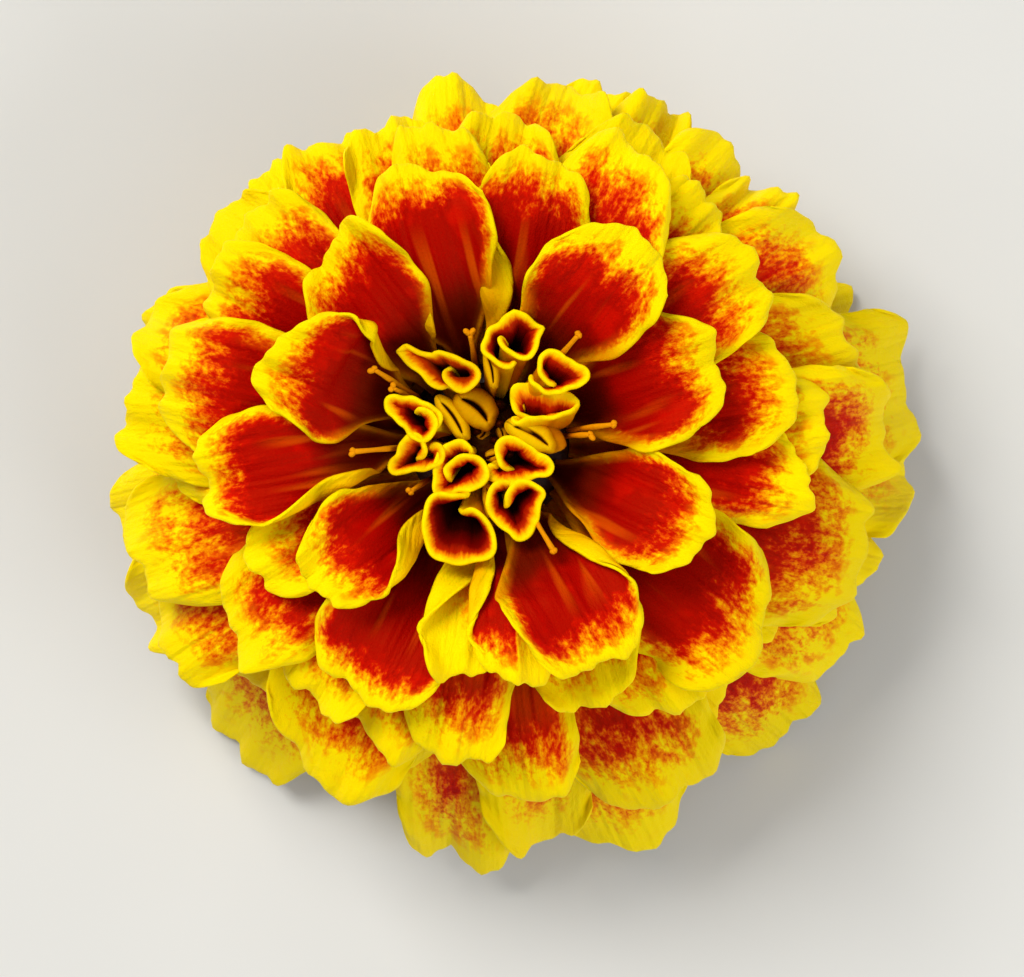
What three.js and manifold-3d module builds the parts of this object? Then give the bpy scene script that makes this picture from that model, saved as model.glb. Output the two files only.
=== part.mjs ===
// A double French marigold flower head, picked with a short stub of its stalk and set down face up.
// Millimetres, +Z up. The head stands on the cut end of the stalk and on the tips of its lowest petals, at
// z = 0, and the origin is there, under the middle of the head's outline. Azimuths are in degrees about the
// flower's own axis, from +X towards +Y.
//
// Each petal is a blade whose middle line is a Bezier curve in its own upright plane. It leaves a dense core
// of packed floret bases and ends on a dome: the further a petal reaches, the lower it leaves the core and
// the more its tip falls. Then each petal, from the lowest to the topmost, is settled on those below it.
import * as THREE from "three";
import { mergeVertices } from "three/addons/utils/BufferGeometryUtils.js";
import Module from "manifold-3d";

const wasm = await Module();
wasm.setup();

// Driving dimensions of the petals.
const BLADE = 0.62; // thickness of a petal
const LAYER = 0.9; // least height of a petal's middle surface over the next, where they are level
const MOST_LIFT = 8; // a petal is raised by no more than this when it is settled
const INNER_REACH = 15.5; // reach of the shortest open petal from the axis
const OUTER_REACH = 31.5; // reach of the longest
const DOME_TOP = 30.5; // the petals' tips lie on a dome of this height,
const DOME_FALL = 0.00083; // which falls away as the cube of their reach
const DROOP = { outermost: 0.4, lower: 0.68 }; // tips of two rows, as shares of the dome's height
const ROOT_RADIUS = 3.7;
const ROOT_HEIGHT = { inner: 16.6, outer: 14.5 };
const LAUNCH = { inner: 60, outer: 8 }; // how steeply a petal leaves the core
const TIP_SLOPE = { inner: -4, outer: -58 }; // slope of its tip
const TROUGH = { inner: 55, outer: 22 }; // how far its sides turn up near the core
const FLARE = { inner: 14, outer: -22 }; // and near the tip
const CLAW = 0.65; // half width of a petal's root
const RUFFLE = { inner: 0.35, outer: 0.75 }; // height of the waves along the margin
const HANDLE = { root: 0.42, tip: 0.38 }; // lengths of the Bezier handles, as shares of the chord
const TOUCH = 0.2; // height of a petal's middle surface where its tip stands on the table

// The young florets of the centre stand in a bowl that the petals stay out of.
const BOWL = { floor: 19, rim: 27, bottomRadius: 4.2, rimRadius: 9, flare: 1.5 };
const BOWL_WALL = 0.56; // half the clear space between the middle surfaces on either side of it

// The petals from the lowest to the topmost: azimuth, reach, width, then how far the left and the right edge
// stand up, in degrees, where they do. Left is anticlockwise, seen from above.
const RESTING = [
  [20, 28.5, 10],
  [48, 25, 10],
  [75, 24, 9],
  [105, 23, 9],
  [130, 23, 9],
  [152, 23, 9],
  [175, 24, 9],
  [200, 26, 10],
  [233, 30, 12],
  [316, 31, 10.5],
];
const OUTERMOST = [
  [60, 25, 9],
  [90, 24, 9],
  [118, 23.5, 9],
  [142, 23.5, 9],
  [160, 26.2, 8],
  [192, 28.1, 9],
  [207, 28.6, 8.5],
  [249, 26.5, 9],
  [266, 31.2, 9.5],
  [291, 31.7, 12],
  [278, 30.2, 8],
  [329, 30.4, 10],
  [341, 29.3, 9.5],
  [355, 31.4, 9],
  [8, 31.5, 12.5],
];
const LOWER = [
  [34, 25.5, 9],
  [75, 24, 8],
  [104, 22.8, 9],
  [130, 22.8, 9],
  [152, 22.8, 8.5],
  [172, 23, 9],
  [222, 24.5, 9],
  [249, 25, 10],
  [312, 25.5, 9],
  [330, 25, 9],
];
const OUTER = [
  [70, 26.2, 7],
  [62, 27.1, 7.5],
  [50, 26.6, 7.5],
  [41, 26.9, 6.5],
  [29, 27.9, 10],
  [16, 26.7, 9],
  [2, 29, 10],
  [343, 28.1, 12.5],
  [297, 28.6, 12.5],
  [244, 26.7, 12],
  [213, 27.3, 9.5],
  [199, 26.4, 10],
  [182, 23.2, 8],
  [175, 25.4, 9.5],
  [161, 25.4, 8.5],
  [126, 24.6, 8.5],
  [142, 24.5, 8.5],
  [94, 25.1, 8.5],
  [78, 25.7, 9],
  [62, 24.5, 8.5],
];
const MIDDLE = [
  [276, 25.3, 9.5],
  [119, 23.9, 8],
  [108, 23.2, 7],
  [137, 22.7, 8],
  [149, 22.1, 7.5, 0, 60],
  [2, 23.7, 8.5],
  [352, 22.6, 7.5, 70, 0],
  [10, 21.8, 9.5],
  [47, 22.8, 6.5],
  [34, 22.1, 9.3],
  [306, 23, 8],
  [323, 23.6, 11.5],
  [250, 22.6, 7.5],
  [263, 22.4, 7.5],
  [235, 22, 8],
  [217, 22.4, 9],
  [209, 18.5, 7],
  [168, 22.7, 9.2, 0, 60],
  [86, 22.6, 8],
  [100, 22, 7],
  [61, 22.5, 9],
  [294, 19.8, 8.5],
];
const INNER = [
  [79, 19.9, 8.2, 80, 40],
  [105, 19.3, 8.2, 60, 20],
  [188, 19.8, 8, 60, 20],
  [243, 19.7, 10, 60, 0],
  [130, 17.1, 8, 60, 30],
  [264, 16.4, 6.5, 0, 80],
  [158, 16, 8.6, 0, 60],
  [220, 15.6, 7.4, 70, 10],
  [277, 16.7, 6.5, 20, 60],
  [336, 16.5, 8, 10, 10],
  [20, 16.8, 9, 30, 10],
  [298, 17.3, 9, 60, 30],
  [53, 17.3, 8.6, 40, 0],
];

// The young florets of the centre, each still rolled into a funnel: azimuth and radius of the mouth's
// middle, its length and width, and the azimuth of its long axis.
const ROLLED = [
  [75, 6.7, 4, 3.4, 45],
  [42, 6.7, 3.5, 2.7, 150],
  [32, 4.3, 4.4, 2.3, 5],
  [356, 3.7, 4.2, 1.8, 165],
  [328, 3, 4.2, 2.4, 155],
  [293, 5.2, 4, 3.8, 60],
  [250, 6.2, 4.8, 4.6, 120],
  [229, 3.1, 3.8, 3.3, 35],
  [192, 5.2, 3.6, 2.4, 20],
  [164, 5.2, 3.7, 2.8, 160],
  [147, 3.1, 3, 2.1, 125],
  [109, 2.5, 3, 2.4, 135],
  [124, 6, 5, 2.6, 160],
  [87, 4.6, 2.6, 1.3, 95],
  [265, 0.9, 1.6, 1.3, 20],
];
const MOUTH_HEIGHT = { inner: 25, outer: 26.8 }; // of a mouth on the axis, and of one at the ring's edge
const MOUTH_RING = 6.4;
const ROLL_SWEEP = 168; // how far round the funnel each half of the sheet goes
const ROLL_ROOT = 0.5; // radius of the funnel's root

// The styles that stand among them: azimuth, and radius and height of the tip.
const STYLES = [
  [100, 6.2, 25.4],
  [57, 7.8, 27],
  [6, 8.2, 26.4],
  [354, 6.9, 25.8],
  [301, 7.4, 26.6],
  [216, 6.4, 25.6],
  [340, 5.1, 26.2],
];
const STYLE_RADIUS = 0.34;

// The green cup of fused bracts, each with a rib and a pointed tooth, and the stub of stalk under it.
const STALK_RADIUS = 2.1;
const BRACTS = 8;
const CUP_SIDES = BRACTS * 5;
const CUP_FLOOR = 6.6; // height of the cup's floor, inside
const CUP_RIM = 11.8; // height of its rim between the teeth
const TOOTH = 1.3;
const RIB = 0.3;
const SEAT = 0.3; // clear distance between two parts that touch

const TURN = Math.PI * 2;
const UP = new THREE.Vector3(0, 0, 1);
const radians = THREE.MathUtils.degToRad;
const { lerp, clamp, smoothstep } = THREE.MathUtils;

// A number from 0 to 1 that depends only on its two seeds.
function chance(seed, salt) {
  const x = Math.sin(seed * 12.9898 + salt * 78.233) * 43758.5453;
  return x - Math.floor(x);
}

function outward(azimuth) {
  return new THREE.Vector3(Math.cos(radians(azimuth)), Math.sin(radians(azimuth)), 0);
}

// A bend to one side of a sheet: how far across and how far up a point lies whose share of the half width is
// `share`, when the outer part of the sheet is a circular arc that ends at `angle`.
function bend(share, halfWidth, angle, flat) {
  const beyond = Math.max(share - flat, 0);
  if (beyond === 0 || Math.abs(angle) < 1e-3) return [halfWidth * share, 0];
  const turned = (angle * beyond) / (1 - flat);
  const radius = (halfWidth * (1 - flat)) / angle;
  return [halfWidth * Math.min(share, flat) + radius * Math.sin(turned), radius * (1 - Math.cos(turned))];
}

// Brings a point to the given side of the bowl's wall, 1 outside and -1 inside, straight out from the axis
// or straight in.
function keepTo(side, point) {
  if (point.z < BOWL.floor - 1) return;
  const share = clamp((point.z - BOWL.floor) / (BOWL.rim - BOWL.floor), 0, 1.15);
  const wall = lerp(BOWL.bottomRadius, BOWL.rimRadius, share ** BOWL.flare) + side * BOWL_WALL;
  const radius = Math.hypot(point.x, point.y);
  if (side * (radius - wall) >= 0) return;
  point.x *= wall / radius;
  point.y *= wall / radius;
}

// The middle surface of a petal: u runs from the right edge, -1, to the left, 1, and v from root to tip.
function petalSurface([azimuth, reach, width, left = 0, right = 0], seed, droop) {
  const level = clamp((reach - INNER_REACH) / (OUTER_REACH - INNER_REACH), 0, 1);
  const between = (range) => lerp(range.inner, range.outer, level);
  const launch = radians(between(LAUNCH));
  const slope = radians(between(TIP_SLOPE) + 12 * (chance(seed, 1) - 0.5));
  const domeHeight = DOME_TOP - DOME_FALL * reach ** 3 + 1.2 * (chance(seed, 2) - 0.5);
  const root = new THREE.Vector2(ROOT_RADIUS, between(ROOT_HEIGHT));
  const tip = new THREE.Vector2(reach, TOUCH + droop * domeHeight);
  const chord = root.distanceTo(tip);
  const fromRoot = new THREE.Vector2(Math.cos(launch), Math.sin(launch)).multiplyScalar(HANDLE.root * chord);
  const fromTip = new THREE.Vector2(Math.cos(slope), Math.sin(slope)).multiplyScalar(-HANDLE.tip * chord);
  const rib = new THREE.CubicBezierCurve(root, root.clone().add(fromRoot), tip.clone().add(fromTip), tip);
  const sweep = 10 * (chance(seed, 3) - 0.5);
  const waves = [1.1 + 0.5 * chance(seed, 4), chance(seed, 5), chance(seed, 6), chance(seed, 7)];
  const ruffle = between(RUFFLE);

  return (u, v) => {
    const side = Math.abs(u);
    const growth = smoothstep(v, 0.04, 0.74);
    const taper = 1 - 0.1 * clamp((v - 0.7) / 0.3, 0, 1) ** 2;
    const halfWidth = (CLAW + (width / 2 - CLAW) * growth) * taper;
    const along = v * (1 - 0.14 * side ** 3.4 * v ** 2);
    const centre = rib.getPointAt(along);
    const heading = rib.getTangentAt(along);
    const edge = u > 0 ? left : right;
    const trough = lerp(between(TROUGH), between(FLARE), smoothstep(v, 0.3, 0.95));
    const standing = edge * Math.sin(Math.PI * clamp((v - 0.12) / 0.86, 0, 1));
    const [across, rise] = bend(side, halfWidth, radians(trough + standing), 0.35 + edge / 400);
    const sideWave = side ** 1.5 * v * Math.sin(TURN * (waves[0] * v + (u > 0 ? waves[1] : waves[2])));
    const tipWave = v ** 3 * Math.sin(TURN * (0.55 * u + waves[3]));
    const plane = outward(azimuth + sweep * (1 - along));
    const leftward = UP.clone().cross(plane);
    const up = plane.clone().multiplyScalar(-heading.y).addScaledVector(UP, heading.x);
    const point = plane
      .clone()
      .multiplyScalar(centre.x)
      .addScaledVector(UP, centre.y)
      .addScaledVector(leftward, Math.sign(u) * across)
      .addScaledVector(up, rise + ruffle * (sideWave + tipWave));
    return { point, layer: LAYER / Math.max(heading.x, 0.55) };
  };
}

// A surface read on a grid: rows of points from root to tip, each from the right edge to the left.
function gridOf(surface, across, along) {
  const rows = [];
  for (let j = 0; j <= along; j++) {
    const row = [];
    for (let i = 0; i <= across; i++) row.push(surface((2 * i) / across - 1, j / along));
    rows.push(row);
  }
  return rows;
}

function trianglesOf(rows) {
  const made = [];
  for (let j = 0; j + 1 < rows.length; j++)
    for (let i = 0; i + 1 < rows[j].length; i++) {
      const [a, b, c, d] = [rows[j][i], rows[j][i + 1], rows[j + 1][i + 1], rows[j + 1][i]];
      made.push([a.point, b.point, c.point], [a.point, c.point, d.point]);
    }
  return made;
}

// The least rise at each grid point that brings it a layer above every triangle under or just over it.
function neededLifts(rows, triangles) {
  const ray = new THREE.Ray(new THREE.Vector3(), UP);
  const hit = new THREE.Vector3();
  return rows.map((row, j) =>
    row.map(({ point, layer }) => {
      ray.origin.copy(point).addScaledVector(UP, -layer);
      let needed = 0;
      for (const [a, b, c] of triangles) {
        if (!ray.intersectTriangle(a, b, c, false, hit)) continue;
        const rise = hit.distanceTo(ray.origin);
        if (rise < MOST_LIFT && rise > needed) needed = rise;
      }
      return needed * smoothstep(j / (rows.length - 1), 0.02, 0.2);
    }),
  );
}

// Each grid point takes the greatest lift of its neighbours, so that margins between the points clear too.
function widened(lifts) {
  return lifts.map((row, j) =>
    row.map((_, i) => {
      const near = [-1, 0, 1].flatMap((dj) => [-1, 0, 1].map((di) => lifts[j + dj]?.[i + di] ?? 0));
      return Math.max(...near);
    }),
  );
}

// The lifts spread into a smooth field that is nowhere below what is needed and nothing at the root.
function spreadLifts(least, rounds) {
  const needed = widened(least);
  let lifts = needed;
  const at = (j, i) => lifts[Math.min(j, lifts.length - 1)][clamp(i, 0, lifts[0].length - 1)];
  for (let n = 0; n < rounds; n++)
    lifts = lifts.map((row, j) =>
      row.map((_, i) => {
        if (j === 0) return 0;
        const mean = (at(j - 1, i) + at(j + 1, i) + at(j, i - 1) + at(j, i + 1)) / 4;
        return Math.max(needed[j][i], mean);
      }),
    );
  return lifts;
}

// Every petal on a grid of 8 by 8 cells, settled in turn on those below it that it can touch.
const SETTLE_ACROSS = 8;
const SETTLE_ALONG = 8;
const SETTLE_ROUNDS = 14;
const LINES = [0, 2, 4, 6, 8]; // the lines of that grid that are enough for the solids,
const LOW_LINES = [0, 2, 5, 8]; // and those along the petals of the three lowest rows
const NEIGHBOUR = 55; // petals further apart than this, in degrees, don't touch
function settledPetals() {
  const rowsUpwards = [
    [RESTING, 0, LOW_LINES],
    [OUTERMOST, DROOP.outermost, LOW_LINES],
    [LOWER, DROOP.lower, LOW_LINES],
    [OUTER, 1, LINES],
    [MIDDLE, 1, LINES],
    [INNER, 1, LINES],
  ];
  const order = rowsUpwards.flatMap(([petals, droop, lines]) => petals.map((petal) => [petal, droop, lines]));
  const settled = [];
  order.forEach(([petal, droop, lines], n) => {
    const rows = gridOf(petalSurface(petal, n + 1, droop), SETTLE_ACROSS, SETTLE_ALONG);
    const apart = (other) => Math.abs(((petal[0] - other + 540) % 360) - 180);
    const below = settled.filter((s) => apart(s.azimuth) < NEIGHBOUR).flatMap((s) => s.triangles);
    const lifts = spreadLifts(neededLifts(rows, below), SETTLE_ROUNDS);
    rows.forEach((row, j) =>
      row.forEach(({ point }, i) => {
        point.z = Math.max(point.z + lifts[j][i], TOUCH);
        keepTo(1, point);
      }),
    );
    settled.push({ azimuth: petal[0], rows, lines, triangles: trianglesOf(rows) });
  });
  return settled.map(({ rows, lines }) => lines.map((j) => LINES.map((i) => rows[j][i].point)));
}

// A closed blade of a given thickness on a grid of points. Both faces are split into triangles alike.
function blade(rows, thickness) {
  const along = rows.length;
  const across = rows[0].length;
  const positions = [];
  for (const sign of [1, -1])
    rows.forEach((row, j) =>
      row.forEach((point, i) => {
        const down = rows[Math.max(j - 1, 0)][i];
        const ahead = rows[Math.min(j + 1, along - 1)][i];
        const right = row[Math.max(i - 1, 0)];
        const left = row[Math.min(i + 1, across - 1)];
        const normal = ahead.clone().sub(down).cross(left.clone().sub(right)).normalize();
        const moved = point.clone().addScaledVector(normal, (-sign * thickness) / 2);
        positions.push(moved.x, moved.y, Math.max(moved.z, 0));
      }),
    );
  const back = along * across;
  const at = (j, i) => j * across + i;
  const faces = [];
  for (let j = 0; j + 1 < along; j++)
    for (let i = 0; i + 1 < across; i++) {
      const [a, b, c, d] = [at(j, i), at(j, i + 1), at(j + 1, i + 1), at(j + 1, i)];
      faces.push(a, b, c, a, c, d, back + a, back + c, back + b, back + a, back + d, back + c);
    }
  const rim = [];
  for (let i = 0; i + 1 < across; i++) rim.push(at(0, i));
  for (let j = 0; j + 1 < along; j++) rim.push(at(j, across - 1));
  for (let i = across - 1; i > 0; i--) rim.push(at(along - 1, i));
  for (let j = along - 1; j > 0; j--) rim.push(at(j, 0));
  rim.forEach((a, k) => {
    const b = rim[(k + 1) % rim.length];
    faces.push(a, back + a, back + b, a, back + b, b);
  });
  return new THREE.BufferGeometry()
    .setAttribute("position", new THREE.Float32BufferAttribute(positions, 3))
    .setIndex(faces);
}

// A rolled floret: a sheet wound into a funnel about a leaning axis, open at the mouth.
function rolledSurface([azimuth, radius, length, width, turn], seed) {
  const share = radius / MOUTH_RING;
  const mouth = outward(azimuth).multiplyScalar(radius);
  mouth.z = lerp(MOUTH_HEIGHT.inner, MOUTH_HEIGHT.outer, share);
  const root = outward(azimuth).multiplyScalar(2.3 * share);
  root.z = BOWL.floor + 1.4;
  const long = outward(turn);
  const short = outward(turn + 90);
  const start = TURN * chance(seed, 8);
  return (u, v) => {
    const angle = u * radians(ROLL_SWEEP) + start;
    const wound = 1 - 0.2 * clamp((u - 0.3) / 0.7, 0, 1);
    const open = v ** 1.3;
    const point = root
      .clone()
      .lerp(mouth, v)
      .addScaledVector(long, wound * lerp(ROLL_ROOT, length / 2 - BLADE / 2, open) * Math.cos(angle))
      .addScaledVector(short, wound * lerp(ROLL_ROOT, width / 2 - BLADE / 4, open) * Math.sin(angle));
    point.z += 0.35 * v * Math.sin(2 * angle - start);
    keepTo(-1, point);
    return { point };
  };
}

// A style: a thin stem that rises from the centre and leans out, with a short forked tip.
const STYLE_SIDES = 4;
function styleSolids([azimuth, radius, height]) {
  const root = outward(azimuth).multiplyScalar(1.9).setZ(BOWL.floor + 1.6);
  const tip = outward(azimuth).multiplyScalar(radius).setZ(height);
  const knee = outward(azimuth).multiplyScalar(0.55 * radius).setZ(height - 0.8);
  keepTo(-1, tip);
  const stem = new THREE.QuadraticBezierCurve3(root, knee, tip);
  const leftward = UP.clone().cross(outward(azimuth));
  const arm = tip.clone().addScaledVector(leftward, 0.8).addScaledVector(outward(azimuth), 0.5);
  keepTo(-1, arm);
  const fork = new THREE.LineCurve3(tip.clone().lerp(knee, 0.25), arm);
  const section = new THREE.Shape();
  for (let k = 0; k < STYLE_SIDES; k++) {
    const angle = (TURN * k) / STYLE_SIDES;
    const [x, y] = [STYLE_RADIUS * Math.cos(angle), STYLE_RADIUS * Math.sin(angle)];
    if (k === 0) section.moveTo(x, y);
    else section.lineTo(x, y);
  }
  const swept = (path, steps) => new THREE.ExtrudeGeometry(section, { steps, extrudePath: path });
  return [swept(stem, 4), swept(fork, 1)];
}

function lathe(profile, sides) {
  const points = profile.map(([r, z]) => new THREE.Vector2(r, z));
  return new THREE.LatheGeometry(points, sides).rotateX(Math.PI / 2);
}

// The cup and its stalk, turned as one outline. Each point has a radius, a height, and shares of the rib's
// and of the tooth's height.
function involucreAndStalk() {
  const outline = [
    [0, 0, 0, 0],
    [STALK_RADIUS, 0, 0, 0],
    [STALK_RADIUS + 0.1, 1.2, 0, 0],
    [2.7, 2.1, 0.3, 0],
    [3.5, 3.4, 1, 0],
    [4.3, 6, 1, 0],
    [4.85, 9.2, 1, 0],
    [5, CUP_RIM - 0.7, 0.6, 0.5],
    [4.75, CUP_RIM, 0.2, 1],
    [4.4, CUP_RIM - 0.1, 0, 1],
    [4.2, CUP_RIM - 1.2, 0, 0],
    [4, 9.4, 0, 0],
    [3.4, CUP_FLOOR, 0, 0],
    [0, CUP_FLOOR, 0, 0],
  ];
  const geometry = lathe(outline, CUP_SIDES);
  const corners = geometry.attributes.position;
  for (let k = 0; k < corners.count; k++) {
    const [radius, height, rib, tooth] = outline[k % outline.length];
    const angle = (TURN * Math.floor(k / outline.length)) / CUP_SIDES;
    const peak = Math.abs(Math.cos((angle * BRACTS) / 2));
    const r = radius + RIB * rib * peak;
    corners.setXYZ(k, r * Math.cos(angle), r * Math.sin(angle), height + TOOTH * tooth * peak ** 1.5);
  }
  return geometry;
}

// The dense core that the petals stand out of: the packed bases of the florets, in the cup and above it.
function floretCore() {
  const profile = [
    [0, CUP_FLOOR + SEAT],
    [3.1, CUP_FLOOR + SEAT],
    [3.7, 9.6],
    [3.9, 13.2],
    [5.4, 13.8],
    [6.2, 15.2],
    [5.8, 17.4],
    [4.2, BOWL.floor],
    [0, BOWL.floor],
  ];
  return lathe(profile, 10);
}

function centreCore() {
  const profile = [
    [0, BOWL.floor + SEAT],
    [3.6, BOWL.floor + SEAT],
    [3.8, BOWL.floor + 1.5],
    [3.4, BOWL.floor + 3],
    [2.1, BOWL.floor + 4.2],
    [0, BOWL.floor + 4.6],
  ];
  return lathe(profile, 12);
}

function solid(geometry) {
  const plain = geometry.index ? geometry.toNonIndexed() : geometry.clone();
  plain.deleteAttribute("normal");
  plain.deleteAttribute("uv");
  const merged = mergeVertices(plain, 1e-4);
  const vertProperties = merged.attributes.position.array;
  const triVerts = new Uint32Array(merged.index.array);
  return new wasm.Manifold(new wasm.Mesh({ numProp: 3, vertProperties, triVerts }));
}

// Joined surfaces can seal a small pocket between them. Only the shell with the most triangles is kept.
function mainShell(corners) {
  const parent = Array.from({ length: Math.max(...corners) + 1 }, (_, i) => i);
  const rootOf = (i) => {
    while (parent[i] !== i) i = parent[i];
    return i;
  };
  for (let t = 0; t < corners.length; t += 3)
    for (const corner of [corners[t + 1], corners[t + 2]]) parent[rootOf(corner)] = rootOf(corners[t]);
  const shells = new Map();
  for (let t = 0; t < corners.length; t += 3) {
    const shell = rootOf(corners[t]);
    shells.set(shell, [...(shells.get(shell) ?? []), ...corners.slice(t, t + 3)]);
  }
  return [...shells.values()].sort((a, b) => b.length - a.length)[0];
}

function fused(geometries) {
  const joined = geometries.map(solid).reduce((whole, piece) => whole.add(piece));
  const mesh = joined.getMesh();
  return new THREE.BufferGeometry()
    .setAttribute("position", new THREE.BufferAttribute(mesh.vertProperties, 3))
    .setIndex(mainShell([...mesh.triVerts]));
}

function node(name, geometry, color, roughness) {
  geometry.computeVertexNormals();
  const material = new THREE.MeshStandardMaterial({ color, roughness, metalness: 0 });
  const mesh = new THREE.Mesh(geometry, material);
  mesh.name = name;
  return mesh;
}

const petalBlades = settledPetals().map((rows) => blade(rows, BLADE));
const rolledBlades = ROLLED.map((floret, n) => {
  const rows = gridOf(rolledSurface(floret, n + 1), 8, 2);
  return blade(rows.map((row) => row.map(({ point }) => point)), BLADE);
});
const styles = STYLES.flatMap(styleSolids);

const head = new THREE.Group();
head.add(node("ray_florets", fused([floretCore(), ...petalBlades]), 0xb0200a, 0.6));
head.add(node("centre_florets", fused([centreCore(), ...rolledBlades, ...styles]), 0xd9a514, 0.6));
head.add(node("involucre_and_stalk", fused([involucreAndStalk()]), 0x668f3a, 0.55));

// The head is moved so that the origin lies under the middle of its outline.
const box = new THREE.Box3().setFromObject(head);
const middle = box.getCenter(new THREE.Vector3());
head.position.set(-middle.x, -middle.y, 0);

export default head;
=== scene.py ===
"""A double French marigold flower head, as picked, standing face up on a pale table and seen from above.

Lengths in the tables are in millimetres and azimuths in degrees about the flower's own axis, from +X towards
+Y. Every shape is worked out in millimetres about that axis and put into its mesh in metres.
"""

import bpy
import numpy as np
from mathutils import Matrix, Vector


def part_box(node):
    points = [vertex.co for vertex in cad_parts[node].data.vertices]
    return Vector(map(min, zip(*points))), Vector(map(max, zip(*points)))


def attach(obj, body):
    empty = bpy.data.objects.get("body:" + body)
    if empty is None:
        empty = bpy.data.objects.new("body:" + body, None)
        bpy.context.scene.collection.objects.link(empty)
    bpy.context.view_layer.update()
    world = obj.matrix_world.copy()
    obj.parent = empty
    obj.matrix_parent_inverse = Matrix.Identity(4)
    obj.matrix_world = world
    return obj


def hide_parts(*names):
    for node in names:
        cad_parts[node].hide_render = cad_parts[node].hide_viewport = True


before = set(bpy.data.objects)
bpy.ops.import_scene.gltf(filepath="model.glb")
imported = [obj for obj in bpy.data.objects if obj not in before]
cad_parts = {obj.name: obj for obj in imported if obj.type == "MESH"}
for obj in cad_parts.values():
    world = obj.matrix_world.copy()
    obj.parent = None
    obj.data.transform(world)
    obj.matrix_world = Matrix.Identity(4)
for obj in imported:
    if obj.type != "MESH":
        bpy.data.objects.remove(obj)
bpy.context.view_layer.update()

CUP_LOW, CUP_HIGH = (np.array(corner) * 1000 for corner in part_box("involucre_and_stalk"))
AXIS = (CUP_LOW + CUP_HIGH) / 2 * (1, 1, 0)
TURN = 2 * np.pi

# The petals from the lowest row to the topmost: azimuth, reach, width, then how far the left and the right
# edge stand up, in degrees, where they do. Left is anticlockwise, seen from above. The inner row's standing
# edges are folded over here, and the middle row's lie open.
ROWS = {
    "resting": [
        (20, 28.5, 10), (48, 25, 10), (75, 24, 9), (105, 23, 9), (130, 23, 9), (152, 23, 9), (175, 24, 9),
        (200, 26, 10), (233, 30, 12), (316, 31, 10.5),
    ],
    "outermost": [
        (60, 25, 9), (90, 24, 9), (118, 23.5, 9), (142, 23.5, 9), (160, 26.2, 8), (192, 28.1, 9),
        (207, 28.6, 8.5), (249, 26.5, 9), (266, 31.2, 9.5), (291, 31.7, 12), (278, 30.2, 8),
        (329, 30.4, 10), (341, 29.3, 9.5), (355, 31.4, 9), (8, 31.5, 12.5),
    ],
    "lower": [
        (34, 25.5, 9), (75, 24, 8), (104, 22.8, 9), (130, 22.8, 9), (152, 22.8, 8.5), (172, 23, 9),
        (222, 24.5, 9), (249, 25, 10), (312, 25.5, 9), (330, 25, 9),
    ],
    "outer": [
        (70, 26.2, 7), (62, 27.1, 7.5), (50, 26.6, 7.5), (41, 26.9, 6.5), (29, 27.9, 10), (16, 26.7, 9),
        (2, 29, 10), (343, 28.1, 12.5), (297, 28.6, 12.5), (244, 26.7, 12), (213, 27.3, 9.5),
        (199, 26.4, 10), (182, 23.2, 8), (175, 25.4, 9.5), (161, 25.4, 8.5), (126, 24.6, 8.5),
        (142, 24.5, 8.5), (94, 25.1, 8.5), (78, 25.7, 9), (62, 24.5, 8.5),
    ],
    "middle": [
        (276, 25.3, 9.5), (119, 23.9, 8), (108, 23.2, 7), (137, 22.7, 8), (149, 22.1, 7.5, 0, 60),
        (2, 23.7, 8.5), (352, 22.6, 7.5, 70, 0), (10, 21.8, 9.5), (47, 22.8, 6.5), (34, 22.1, 9.3),
        (306, 23, 8), (323, 23.6, 11.5), (250, 22.6, 7.5), (263, 22.4, 7.5), (235, 22, 8), (217, 22.4, 9),
        (209, 18.5, 7), (168, 22.7, 9.2, 0, 60), (86, 22.6, 8), (100, 22, 7), (61, 22.5, 9),
        (294, 19.8, 8.5),
    ],
    "inner": [
        (79, 19.9, 8.2, 80, 40), (105, 19.3, 8.2, 60, 20), (188, 19.8, 8, 60, 20), (243, 19.7, 10, 60, 0),
        (130, 17.1, 8, 60, 30), (264, 16.4, 6.5, 0, 80), (158, 16, 8.6, 0, 60), (220, 15.6, 7.4, 70, 10),
        (277, 16.7, 6.5, 20, 60), (336, 16.5, 8, 10, 10), (20, 16.8, 9, 30, 10), (298, 17.3, 9, 60, 30),
        (53, 17.3, 8.6, 40, 0),
    ],
}

# A petal's form. A pair holds the values at the innermost and at the outermost reach.
INNER_REACH = 15.5
OUTER_REACH = 31.5
ROOT_RADIUS = 3.7
ROOT_HEIGHT = (16.6, 14.5)
LAUNCH = (60, 8)  # how steeply a petal leaves the core
TIP_SLOPE = (-4, -58)
SLOPE_SPREAD = 12  # by chance, and so are the other spreads
TROUGH = (55, 22)  # how far its sides turn up near the core
FLARE = (14, -22)  # and near the tip
SWAY = (38, 16)  # and how far they turn up and down on the way
SWEEP = 10  # spread of the sideways bend, in degrees
RUFFLE = (0.35, 0.75)  # height of the waves along the margin
DOME_TOP = 30.5  # the tips lie on a dome of this height,
DOME_FALL = 0.00083  # which falls away as the cube of their reach
DOME_SPREAD = 1.2
DROOP = {"resting": 0, "outermost": 0.4, "lower": 0.68}  # tips of three rows, as shares of the dome's height
CLAW = 0.65  # half width of the root
HANDLES = (0.42, 0.38)  # lengths of the Bezier handles at the root and at the tip, as shares of the chord
TOUCH = 0.2  # height of the middle surface where a tip stands on the table
TIP_TAPER = 0.1
TIP_ROUNDING = 0.14  # how much shorter the sides are than the middle
PETAL_THICKNESS = 0.23

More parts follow.
